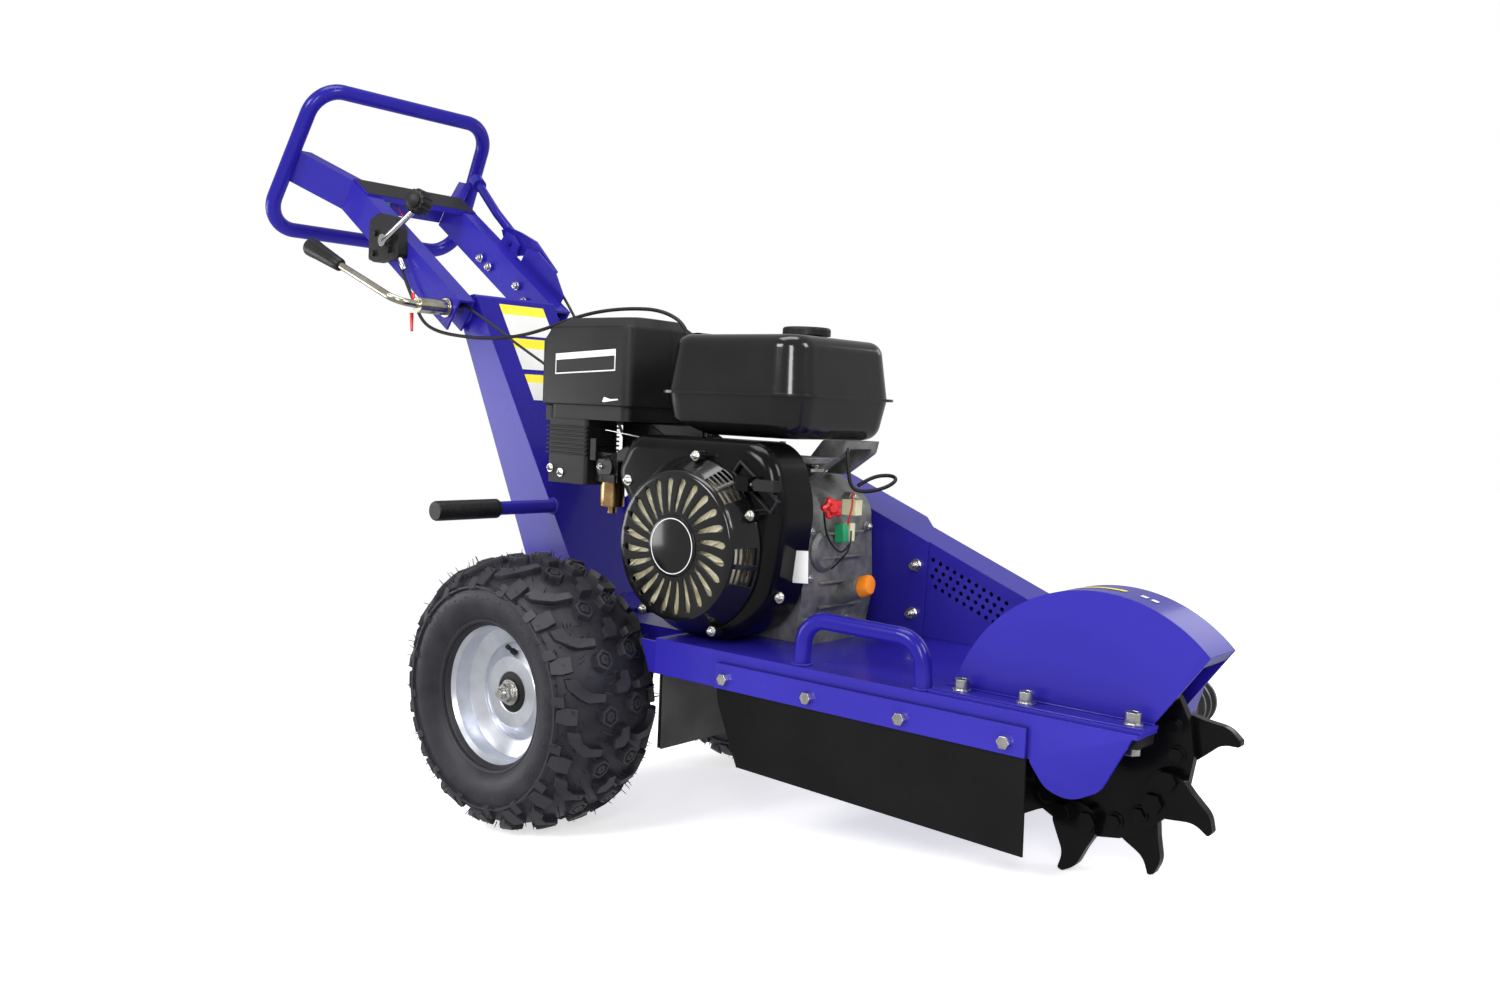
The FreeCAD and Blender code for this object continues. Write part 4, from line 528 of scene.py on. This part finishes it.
def build_axle_hardware():
    """The axle's turned-down threaded ends with washers and nuts, and the collars inside the hubs."""
    mesh = bmesh.new()
    stud, shoulder, end = 8.5, 303, 328
    half = [(12.4, 0), (12.4, shoulder), (stud, shoulder)]
    for turn in range(12):
        half += [(stud, 306 + turn * 1.75), (stud - 0.7, 306.8 + turn * 1.75)]
    half += [(stud - 1.5, end), (0.1, end)]
    lathe(mesh, [(radius, -y) for radius, y in reversed(half)] + half[1:], (0, 0, 0), (0, 1, 0), 32)
    for side in (-1, 1):
        collar = [(12.6, 221), (21, 221), (21, 227.4), (12.6, 227.4)]
        washer = [(stud + 0.1, 306), (19, 306), (19, 308.6), (stud + 0.1, 308.6)]
        for ring in (collar, washer):
            lathe(mesh, [(radius, side * y) for radius, y in ring], (0, 0, 0), (0, 1, 0), 40, closed=True)
        hex_bolt(mesh, (0, side * 308.6, 0), (0, side, 0), 24, 11, 14.5)
    hardware = piece("axle_hardware", mesh, ZINC, "chassis", replaces=("axle", "axle_nuts"))


build_axle_hardware()


# --------------------------------------------------------------------------------------------------
# Grips
# --------------------------------------------------------------------------------------------------
def ribbed_profile(length, radius, ribs, depth=0.8):
    """A grip's (radius, along) outline with shallow grooves between its ribs."""
    profile = [(0.1, 0), (radius - 1, 0), (radius, 1.5)]
    for index in range(ribs):
        start = 6 + (length - 12) * index / ribs
        width = (length - 12) / ribs
        profile += [(radius, start), (radius, start + width * 0.6), (radius - depth, start + width * 0.7),
                    (radius - depth, start + width * 0.95)]
    return profile + [(radius, length - 3), (radius - 1.2, length), (0.1, length)]


def build_grips():
    """The ribbed side grips and the tapered grip on the clamp lever."""
    mesh = bmesh.new()
    for side in (-1, 1):
        lathe(mesh, ribbed_profile(119, 15.5, 26), (-163, side * 208, 254), (0, side, 0), 40)
    piece("ribbed_side_grips", mesh, BLACK_SATIN, "chassis", replaces=("grab_bar_grips",))
    mesh = bmesh.new()
    start = Vector((-580, -236, 652))
    along = Vector((-166, -4, 66)).normalized()
    lathe(mesh, [(0.1, -8), (9.5, -8), (11.6, -4), (12.4, 10), (15.2, 62), (16.8, 82), (17, 90), (14, 94),
                 (0.1, 95)], start, along, 40)
    piece("clamp_lever_grip", mesh, BLACK_SATIN, "clamp")


build_grips()


# --------------------------------------------------------------------------------------------------
# Handle details: throttle knob, arm bolts, plain sticker, kill switch and connector
# --------------------------------------------------------------------------------------------------
def build_handle_details():
    """The fluted throttle knob and the small fittings between the handle's arms."""
    knob_at = Vector((-442, -160, 758))
    mesh = bmesh.new()
    axis = Vector((0.35, -1, 0.1)).normalized()
    flute = 6
    rings = lathe(mesh, [(0.1, -1.5), (17.8, -1.5), (20.5, 3), (20.5, 23), (17.8, 28), (13.5, 29),
                         (13.5, 33), (9, 35.5), (0.1, 36)], knob_at, axis, 12 * flute)
    for ring in rings[1:5]:
        for index, vert in enumerate(ring):
            spoke = vert.co - knob_at - axis * (vert.co - knob_at).dot(axis)
            vert.co += spoke.normalized() * (1.2 if index % flute < flute / 2 else -0.8)
    piece("throttle_knob", mesh, BLACK_SATIN, "throttle")
    mesh = bmesh.new()
    for along, up in ((188, -8), (220, -8), (96, 8), (60, -4)):
        hex_bolt(mesh, on_arm(along, up, 88), (0, -1, 0), 12, 6, 8)
    piece("arm_bolts", mesh, ZINC, "handle")
    mesh = bmesh.new()
    sticker = [(330, 34.3), (383, 34.3), (383, 34.8), (330, 34.8)]
    prism(mesh, sticker, -122, 122, arm_frame)
    piece("panel_sticker", mesh, BLACK_SATIN, "handle", smooth=False)
    mesh = bmesh.new()
    bmesh.ops.create_uvsphere(mesh, u_segments=24, v_segments=12, radius=9,
                              matrix=Matrix.Translation(on_arm(300, -22, -40)))
    for index in range(8):
        lathe(mesh, [(0.1, 0), (4.5 - index * 0.3, 0), (0.1, 4)], on_arm(300, -14 + index, -40), RISE, 12)
    piece("kill_switch_button", mesh, RED, "handle")
    strand("kill_switch_wire", [on_arm(300, -14, -40), on_arm(306, 2, -42), on_arm(330, 12, -46),
                                on_arm(352, 10, -40)], 2.4, RED, "handle")
    strand("kill_switch_lead", [on_arm(300, -30, -40), on_arm(286, -52, -52), on_arm(268, -44, -72),
                                on_arm(272, -12, -84), on_arm(290, 12, -86), on_arm(318, 20, -80)], 2.4,
           BLACK_SATIN, "handle")
    mesh = bmesh.new()
    prism(mesh, [(340, 4), (366, 4), (366, 20), (340, 20)], -84, -62, arm_frame)
    piece("green_connector", mesh, GREEN, "handle", bevel=1.2)


build_handle_details()


# --------------------------------------------------------------------------------------------------
# Control cables along their CAD routes, between the handle and the chassis
# --------------------------------------------------------------------------------------------------
THROTTLE_CABLE = [(-533, -140, 655), (-512, -141, 625), (-486, -142, 590), (-462, -141, 556),
                  (-424, -138, 540), (-366, -132, 532), (-305, -118, 529), (-245, -108, 533),
                  (-190, -98, 545), (-140, -88, 562), (-85, -78, 575), (-20, -70, 580), (45, -64, 577),
                  (92, -60, 556), (104, -60, 520), (108, -62, 470)]
STOP_CABLE = [(-436, -111, 600), (-400, -108, 592), (-366, -95, 572), (-325, -88, 550), (-285, -85, 528),
              (-245, -82, 508), (-205, -78, 488), (-166, -70, 466), (-140, -58, 430), (-132, -40, 392)]
BLADE_CABLE = [(-444, 134, 662), (-416, 135, 638), (-388, 135, 606), (-360, 133, 574), (-325, 126, 540),
               (-290, 116, 500), (-258, 110, 456), (-226, 108, 408), (-194, 108, 356), (-160, 112, 308),
               (-138, 118, 254), (-112, 122, 202), (-70, 120, 158), (-10, 116, 135), (50, 112, 124),
               (110, 110, 118)]


def cable_between(name, points, diameter):
    """A cable as a mesh tube from the handle to the chassis."""
    line = strand(name + "_line", points, diameter, BLACK_SATIN, "chassis")
    line.parent = None
    line.matrix_world = Matrix.Identity(4)
    data = bpy.data.meshes.new_from_object(line.evaluated_get(bpy.context.evaluated_depsgraph_get()))
    bpy.data.objects.remove(line)
    obj = bpy.data.objects.new(name, data)
    bpy.context.scene.collection.objects.link(obj)
    data.shade_smooth()
    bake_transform(obj)
    return obj


throttle_cable = cable_between("throttle_cable", THROTTLE_CABLE, 6.0)
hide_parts("control_cables")
cable_between("stop_cable", STOP_CABLE, 4.6)
cable_between("blade_control_cable", BLADE_CABLE, 5.4)


# --------------------------------------------------------------------------------------------------
# Engine details
# --------------------------------------------------------------------------------------------------
BOWL_FACE = -232.0
BOWL_RIM = 123.0
BOWL_EDGE = 103.0
VENTED_SECTORS = (0, 8, 11, 12, 19, 20, 23)
# Half of a slot's width at each radius
SLOT_EDGE = [(47.5, 0.7), (49, 1.7), (52, 2.4), (60, 3.0), (70, 3.7), (80, 4.5), (86, 4.9), (90, 4.7),
             (93, 3.4), (94.6, 1.2)]


def slot_half_width(radius):
    """A slot's half width at a radius, and its end width beyond both of its ends."""
    for (r0, w0), (r1, w1) in zip(SLOT_EDGE, SLOT_EDGE[1:]):
        if r0 <= radius <= r1:
            return w0 + (w1 - w0) * (radius - r0) / (r1 - r0)
    return 0.7


def build_fan_bowl():
    """The recoil starter's bowl: 24 curved slots in its face and stacks of vents in its wall."""
    sectors, columns, vents = 24, 12, 5
    section = [(r, BOWL_FACE) for r in (30, 44)] + [(r, BOWL_FACE) for r, _ in SLOT_EDGE]
    section += [(99, BOWL_FACE), (102, BOWL_FACE + 0.8), (BOWL_EDGE + 1, BOWL_FACE + 2.6),
                (BOWL_EDGE + 2.4, BOWL_FACE + 6)]
    wall_start = len(section)
    top, bottom = BOWL_FACE + 8, -193.0
    for step in range(2 * vents + 1):
        part = (step // 2 + (0.6 if step % 2 else 0.0)) / vents
        section.append((BOWL_EDGE + 3 + (BOWL_RIM - BOWL_EDGE - 3) * part, top + (bottom - top) * part))
    section += [(BOWL_RIM, -190.4)]
    first_slot, last_slot = 2, 1 + len(SLOT_EDGE)
    mesh = bmesh.new()
    rings = []
    for place, (radius, y) in enumerate(section):
        even = min(1.0, max(0.0, (place - last_slot) / 4))
        swirl = math.radians(9) * min(1.0, (radius - 30) / 60)
        half = slot_half_width(radius) / radius
        pitch = 2 * math.pi / sectors
        ring = []
        for sector in range(sectors):
            for column in range(columns):
                if column < 3:
                    slotted = (column - 1) * half
                else:
                    slotted = half + (pitch - 2 * half) * (column - 2) / (columns - 2)
                angle = sector * pitch + swirl + (1 - even) * slotted + even * pitch * column / columns
                spoke = Vector((radius * math.cos(angle), y, -radius * math.sin(angle)))
                ring.append(mesh.verts.new(CRANK + spoke))
        rings.append(ring)
    total = sectors * columns
    for place, (inner, outer) in enumerate(zip(rings, rings[1:])):
        in_vent_row = wall_start <= place < wall_start + 2 * vents and (place - wall_start) % 2 == 0
        for index in range(total):
            sector, column = divmod(index, columns)
            in_slot = first_slot <= place < last_slot and column < 2
            in_stack = sector in VENTED_SECTORS and 1 < column < 11
            if in_slot or (in_vent_row and in_stack):
                continue
            following = (index + 1) % total
            mesh.faces.new((inner[index], inner[following], outer[following], outer[index]))
    bowl = piece("fan_bowl", mesh, BLACK_GLOSS, "chassis", replaces=("recoil_cover",))
    skin = bowl.modifiers.new("pressed_thickness", "SOLIDIFY")
    skin.thickness = 2.6 * MM
    skin.offset = -1.0
    rounding = bowl.modifiers.new("rounded_edges", "BEVEL")
    rounding.width = 0.5 * MM
    rounding.segments = 2
    rounding.limit_method = "ANGLE"
    rounding.angle_limit = math.radians(50)


def build_fan_face():
    """The starter cup's pale screen, just behind the slots, that turns with the engine."""
    mesh = bmesh.new()
    centre = (CRANK.x, 0, CRANK.z)
    dish = [(40, -221), (60, -223), (97, -221), (99, -214), (99, -198), (97, -198), (96, -212), (60, -219),
            (40, -217)]
    lathe(mesh, dish, centre, (0, 1, 0), 96, closed=True)
    for index in range(36):
        angle = 2 * math.pi * index / 36
        inner, outer = [CRANK + Vector((r * math.cos(angle + lag), 0, r * math.sin(angle + lag)))
                        for r, lag in ((50, 0), (95, 0.22))]
        side = Vector((-(outer - inner).z, 0, (outer - inner).x)).normalized() * 0.9
        corners = [inner - side, inner + side, outer + side, outer - side]
        low = [mesh.verts.new(corner + Vector((0, -222, 0))) for corner in corners]
        high = [mesh.verts.new(corner + Vector((0, -226, 0))) for corner in corners]
        mesh.faces.new(high)
        bridge(mesh, low, high)
    piece("fan_face", mesh, FAN, "crank")


def build_recoil_details():
    """The bowl's blank badge, its bolted lugs, and a blank sticker on the housing's side."""
    centre = (CRANK.x, 0, CRANK.z)
    lugs = []
    for angle in (-128, -64, 24, 84):
        ray = Vector((math.cos(math.radians(angle)), 0, math.sin(math.radians(angle))))
        lugs.append(CRANK + ray * 126)
    mesh = bmesh.new()
    lathe(mesh, [(0.1, -234.6), (39, -234.6), (42.5, -233.6), (43.5, -231), (43.5, -229)], centre,
          (0, 1, 0), 72)
    piece("recoil_badge", mesh, BLACK_GLOSS, "chassis")
    mesh = bmesh.new()
    ring = [(37.6, -235.0), (38.8, -235.0), (38.8, -234.4), (37.6, -234.4)]
    lathe(mesh, ring, centre, (0, 1, 0), 72, closed=True)
    piece("recoil_badge_ring", mesh, WHITE, "chassis")
    mesh = bmesh.new()
    for lug in lugs:
        lathe(mesh, [(0.1, -206), (8, -206), (8, -190)], lug, (0, 1, 0), 20)
    piece("bowl_lugs", mesh, BLACK_GLOSS, "chassis")
    mesh = bmesh.new()
    for lug in lugs:
        hex_bolt(mesh, lug + Vector((0, -206, 0)), (0, -1, 0), 9, 5, 7)
    for place in ((112, -190, 318), (386, -168, 178)):
        hex_bolt(mesh, place, (0, -1, 0), 9, 5, 8)
    piece("housing_bolts", mesh, ZINC, "chassis")
    mesh = bmesh.new()
    prism(mesh, [(386, 196), (412, 198), (410, 242), (384, 240)], -141, -140.4)
    piece("plain_housing_sticker", mesh, WHITE, "chassis", smooth=False)


build_fan_bowl()
build_fan_face()
build_recoil_details()


def build_slotted_bracket():
    """The black slotted strip bolted across the top of the fan housing."""
    start, end = Vector((322, -197, 352)), Vector((392, -197, 300))
    along = (end - start).normalized()
    across = Vector((along.z, 0, -along.x))

    def place(x, y, z):
        return start + along * x + across * z + Vector((0, y, 0))

    mesh = bmesh.new()
    length = (end - start).length
    rail, bar, web = 3, 4, 8
    near, far = 0.5, 7
    for side in (-1, 1):
        edges = sorted((side * 8, side * (8 + rail)))
        prism(mesh, [(0, edges[0]), (length, edges[0]), (length, edges[1]), (0, edges[1])], near, far,
              place)
    for low, high in ((0, bar), (length * 0.48 - web / 2, length * 0.48 + web / 2), (length - bar, length)):
        prism(mesh, [(low, -8), (high, -8), (high, 8), (low, 8)], near, far, place)
    piece("slotted_bracket", mesh, BLACK_SATIN, "chassis", bevel=0.8)
    mesh = bmesh.new()
    hex_bolt(mesh, place(length * 0.48, 0.5, 0), (0, -1, 0), 10, 5, 7)
    piece("bracket_bolt", mesh, ZINC, "chassis")


build_slotted_bracket()


def build_intake_details():
    """Ribs and screws on the intake duct, and the air cleaner's blank label and small mark."""
    mesh = bmesh.new()
    for index in range(7):
        z = 388 - index * 7
        prism(mesh, [(-118, z), (-24, z), (-24, z + 3), (-118, z + 3)], -149, -77)
    piece("intake_ribs", mesh, BLACK_SATIN, "chassis", bevel=0.8)
    mesh = bmesh.new()
    hex_bolt(mesh, (-108, -146, 322), (0, -1, 0), 8, 3, 7)
    hex_bolt(mesh, (-84, -146, 316), (0, -1, 0), 8, 3, 7)
    hex_bolt(mesh, (-6, -134, 330), (0, -1, 0), 7, 3, 5)
    piece("intake_screws", mesh, ZINC, "chassis")
    label = [(-92, 471), (42, 478), (42, 511), (-92, 503)]
    mesh = bmesh.new()
    prism(mesh, label, -156.5, -156.1)
    prism(mesh, [(16, 431), (20, 438), (34, 435), (50, 436), (50, 434), (34, 432), (20, 430)], -156.5,
          -156.1)
    piece("cleaner_label_frame", mesh, WHITE, "chassis", smooth=False)
    mesh = bmesh.new()
    prism(mesh, [(-90, 473), (40, 480), (40, 501), (-90, 493)], -156.8, -156.3)
    piece("cleaner_label_field", mesh, BLACK_SATIN, "chassis", smooth=False)


build_intake_details()


def build_cleaner_shell():
    """The air cleaner's moulded cover with its chamfered crown and rear lip, and a shield below it."""
    mesh = bmesh.new()
    rings = []
    for z, rear, front, inset, corner in ((424, -130, 70, 0, 15), (524, -130, 70, 0, 15),
                                          (545, -112, 69, 1, 15), (546.5, -109, 67, 3, 15),
                                          (560, -86, 52, 20, 12), (563, -44, 30, 56, 8)):
        ring = []
        low, high = -156 + inset, -6 - inset
        for x, y, start in ((front - corner, high - corner, 0), (rear + corner, high - corner, 90),
                            (rear + corner, low + corner, 180), (front - corner, low + corner, 270)):
            for step in range(7):
                angle = math.radians(start + 15 * step)
                ring.append(mesh.verts.new((x + corner * math.cos(angle), y + corner * math.sin(angle), z)))
        rings.append(ring)
    for low, high in zip(rings, rings[1:]):
        bridge(mesh, low, high)
    mesh.faces.new(rings[0])
    mesh.faces.new(rings[-1])
    prism(mesh, [(-130, 396), (-113, 396), (-113, 423.5), (-130, 423.5)], -141, -21)
    shell = piece("air_cleaner_shell", mesh, BLACK_SATIN, "chassis", replaces=("air_cleaner_cover",),
                  bevel=2.0)
    mesh = bmesh.new()
    prism(mesh, [(-24, 330), (150, 330), (150, 401), (-24, 401)], -72, -62)
    prism(mesh, [(30, 352), (118, 352), (118, 362), (30, 362)], -96, -72)
    piece("intake_shield", mesh, BLACK_GLOSS, "chassis", bevel=2.5)


build_cleaner_shell()


def build_crankcase_details():
    """Bolts, ribs and bosses on the grey crankcase, the tank's struts and the engine's small castings."""
    mesh = bmesh.new()
    front = (0.93, 0, 0.05)
    bolted = ((-88, 132), (-88, 196), (-84, 262), (-40, 300), (20, 306), (58, 262), (60, 180))
    for y, z in (*bolted, (10, 128)):
        lathe(mesh, [(0.1, -8), (9, -8), (8, 5), (0.1, 5.5)], (368 - (z - 165) * 0.05, y, z), front, 20)
    for z in (150, 185, 220, 255):
        prism(mesh, [(362, z), (376, z), (376, z + 4), (362, z + 4)], -60, 40)
    lathe(mesh, [(0.1, -6), (30, -6), (30, 4), (24, 9), (0.1, 9)], (366, -50, 232), front, 40)
    piece("crankcase_bosses", mesh, ALUMINIUM, "chassis", bevel=1.0)
    mesh = bmesh.new()
    for y, z in bolted:
        hex_bolt(mesh, (373 - (z - 165) * 0.05, y, z), front, 10, 6, 0)
    for place in ((336, -106, 350), (356, -62, 354), (304, -106, 356)):
        hex_bolt(mesh, place, (0, -1, 0), 10, 6, 7)
    piece("crankcase_bolts", mesh, ZINC, "chassis")
    mesh = bmesh.new()
    prism(mesh, [(318, 330), (340, 330), (388, 366), (362, 366)], -62, -46)
    prism(mesh, [(290, 357), (376, 357), (380, 366), (286, 366)], -100, -44)
    prism(mesh, [(294, 344), (318, 336), (366, 356), (366, 364), (292, 364)], -106, -99)
    piece("tank_struts", mesh, ALUMINIUM, "chassis", bevel=1.6)
    mesh = bmesh.new()
    prism(mesh, [(40, 340), (240, 348), (296, 352), (296, 362), (236, 361), (60, 366), (40, 356)], -146,
          -118)
    prism(mesh, [(86, 366), (110, 366), (106, 384), (90, 384)], -142, -122)
    piece("upper_shroud", mesh, BLACK_GLOSS, "chassis", bevel=3.0)


build_crankcase_details()


def weld(name, centre, axis, radius, body, bead=3.2):
    """A ring of weld beads round a tube or boss."""
    axis = Vector(axis).normalized()
    start = axis.orthogonal().normalized() * radius
    count = max(12, int(2 * math.pi * radius / bead / 1.3))
    mesh = bmesh.new()
    for step in range(count):
        spot = Vector(centre) + Quaternion(axis, 2 * math.pi * step / count) @ start
        size = bead * random.uniform(0.85, 1.15)
        bmesh.ops.create_uvsphere(mesh, u_segments=10, v_segments=6, radius=size,
                                  matrix=Matrix.Translation(spot))
    piece(name, mesh, BLUE, body)


for side, label in ((-1, "right"), (1, "left")):
    weld(f"boss_weld_{label}", (-412, side * 90, 582), (0, 1, 0), 23, "chassis")
    weld(f"grip_weld_{label}", (-163, side * 90, 254), (0, 1, 0), 12, "chassis", 2.6)
    weld(f"lift_weld_rear_{label}", (462, side * 213, 106), (0, 0, 1), 12, "chassis", 2.4)
    weld(f"lift_weld_front_{label}", (646, side * 213, 106), (0, 0, 1), 12, "chassis", 2.4)


def build_rear_skirt():
    """The plain metal chip skirt that hangs in front of the wheels, with its fixing bolts."""
    mesh = bmesh.new()
    prism(mesh, [(221.6, -52), (222.6, -52), (222.6, 99), (221.6, 99)], -223, 223)
    prism(mesh, [(227.2, -53), (228.4, -53), (228.4, 80), (227.2, 80)], -223, 223)
    piece("rear_skirt_faces", mesh, SKIRT, "chassis", smooth=False)
    mesh = bmesh.new()
    for side in (-1, 1):
        low, high = sorted((side * 225, side * 230))
        prism(mesh, [(206, 55), (188, 100), (219, 100), (219, 55)], low, high)
    piece("rail_end_gussets", mesh, BLUE, "chassis", bevel=1.0)
    mesh = bmesh.new()
    for y in (-196, -60, 60, 196):
        hex_bolt(mesh, (221, y, 20), (-1, 0, 0), 11, 6, 9)
    piece("rear_skirt_bolts", mesh, ZINC, "chassis")


build_rear_skirt()


def build_cable_ends():
    """The throttle cable's ferrule and the red tags on the loose lead beside it."""
    mesh = bmesh.new()
    lathe(mesh, [(0.1, 0), (4.4, 0), (4.4, 12), (5.2, 12), (5.2, 20), (3.6, 24), (0.1, 24)],
          (-535, -139.5, 671), (0.5, 0, -0.8), 20)
    piece("throttle_cable_ferrule", mesh, ZINC, "handle")
    mesh = bmesh.new()
    for foot, tip in (((-452, -170, 604), (-440, -176, 590)), ((-446, -176, 570), (-439, -180, 538))):
        axis = Vector(tip) - Vector(foot)
        lathe(mesh, [(0.1, 0), (3.4, 1), (2.4, axis.length), (0.1, axis.length)], foot, axis, 10)
    piece("red_cable_tags", mesh, RED, "handle")


build_cable_ends()


def lobed_knob(name, centre, axis, profile, lobes, depth, material, body, replaces=()):
    """A turned knob whose sides swell into lobes."""
    axis = Vector(axis).normalized()
    mesh = bmesh.new()
    rings = lathe(mesh, profile, centre, axis, lobes * 16)
    for ring, (radius, _) in zip(rings, profile):
        for index, vert in enumerate(ring):
            spoke = (vert.co - Vector(centre)) - axis * (vert.co - Vector(centre)).dot(axis)
            if radius > 6:
                vert.co += spoke.normalized() * depth * math.cos(2 * math.pi * index / 16)
    piece(name, mesh, material, body, replaces=replaces)


lobed_knob("oil_cap_wings", Vector((352, -6, 160)) + Vector((0.93, 0, 0.36)) * 58.5, (0.93, 0, 0.36),
           [(0.1, -4), (12, -4), (12, 0), (14.5, 1), (15, 3), (14, 14), (12.5, 17), (7, 18), (0.1, 18)], 2,
           2.6, ORANGE, "oil_filler_cap", ("oil_cap",))
lobed_knob("switch_star", Vector((392, -70, 297)) + Vector((0.75, -0.66, 0)) * 2, (0.75, -0.66, 0),
           [(0.1, 0), (10, 0), (13, 1), (14, 4), (14, 9), (12, 12), (7, 13), (6, 20), (5, 21.5),
            (0.1, 21.5)], 5, 2.0, RED, "switch_knob", ("engine_switch",))


def build_guard_trim():
    """The folded rib along the guard's foot, and a plain yellow stripe with two dots on its crown."""
    mesh = bmesh.new()
    for low, high in ((-222.5, -219), (-186.5, -183.5)):
        prism(mesh, [(662, 108.6), (920, 108.6), (920, 111), (662, 111)], low, high)
    piece("guard_foot_ribs", mesh, BLUE, "chassis", bevel=1.0)
    mesh = bmesh.new()
    centre = Vector((843.5, 0, 64.5))

    def crown(start, end, low, high):
        """A thin strip on the guard's crown between two angles."""
        steps = 10
        columns = []
        for step in range(steps + 1):
            angle = math.radians(start + (end - start) * step / steps)
            ray = Vector((math.cos(angle), 0, math.sin(angle))) * 181.0
            columns.append([mesh.verts.new(centre + ray + Vector((0, y, 0))) for y in (low, high)])
        for first, second in zip(columns, columns[1:]):
            mesh.faces.new((first[0], second[0], second[1], first[1]))

    crown(84, 108, -150, -141)
    piece("guard_stripe", mesh, YELLOW, "chassis", smooth=False)
    mesh = bmesh.new()
    crown(76, 78.5, -150, -141)
    crown(72, 74.5, -150, -141)
    piece("guard_stripe_dots", mesh, WHITE, "chassis", smooth=False)


build_guard_trim()


def build_wiring():
    """The loose wires, rod and plug round the engine's front and intake."""
    strand("starter_loop_wire", [(380, -20, 380), (386, -24, 350), (392, -22, 322), (408, -10, 318),
                                 (436, 0, 326), (446, 14, 338), (430, 22, 344), (404, 10, 340),
                                 (392, -6, 326)], 5.5, BLACK_SATIN, "chassis")
    strand("red_wire", [(394, -20, 318), (396, -22, 300), (392, -24, 280), (386, -22, 258)], 2.6, RED,
           "chassis")
    strand("switch_wire", [(378, -66, 292), (376, -60, 270), (378, -50, 246), (392, -34, 226),
                           (396, -26, 244)], 3.0, BLACK_SATIN, "chassis")
    strand("ground_wire", [(394, -20, 262), (400, -26, 240), (388, -34, 220), (374, -36, 206)], 2.4,
           BLACK_SATIN, "chassis")
    strand("governor_rod", [(20, -150, 388), (70, -156, 384), (120, -154, 378), (180, -150, 370),
                            (240, -146, 366)], 2.2, CHROME, "chassis")
    mesh = bmesh.new()
    prism(mesh, [(376, 244), (392, 246), (390, 272), (374, 270)], -34, -22)
    piece("green_plug", mesh, GREEN, "chassis", bevel=1.0)


build_wiring()


def build_riser_stickers():
    """Plain yellow and white stickers, with nothing printed on them, on the riser's front face."""
    foot, head = Vector((-117, 0, 171)), Vector((-383, 0, 610))
    up = (head - foot).normalized()
    out = Vector((up.z, 0, -up.x))

    def place(x, y, z):
        return foot + up * z + out * x + Vector((0, y, 0))

    for number, (low, high) in enumerate(((432, 496), (362, 426), (300, 352))):
        header = high - (high - low) * 0.32
        for part, bottom, top, finish, slot in (("header", header, high, YELLOW, "white_plastic"),
                                                ("field", low, header, WHITE, "white_plastic")):
            mesh = bmesh.new()
            prism(mesh, [(0.4, bottom), (0.8, bottom), (0.8, top), (0.4, top)], -44, 58, place)
            piece(f"riser_sticker_{number}_{part}", mesh, finish, "chassis", smooth=False)


build_riser_stickers()


# --------------------------------------------------------------------------------------------------
# Floor and scene update
# --------------------------------------------------------------------------------------------------
mesh = bmesh.new()
bmesh.ops.create_grid(mesh, x_segments=40, y_segments=40, size=30)
floor_data = bpy.data.meshes.new("studio_floor")
mesh.to_mesh(floor_data)
mesh.free()
floor = bpy.data.objects.new("studio_floor", floor_data)
bpy.context.scene.collection.objects.link(floor)
floor_data.materials.append(FLOOR)
floor.visible_glossy = False

bpy.context.view_layer.update()
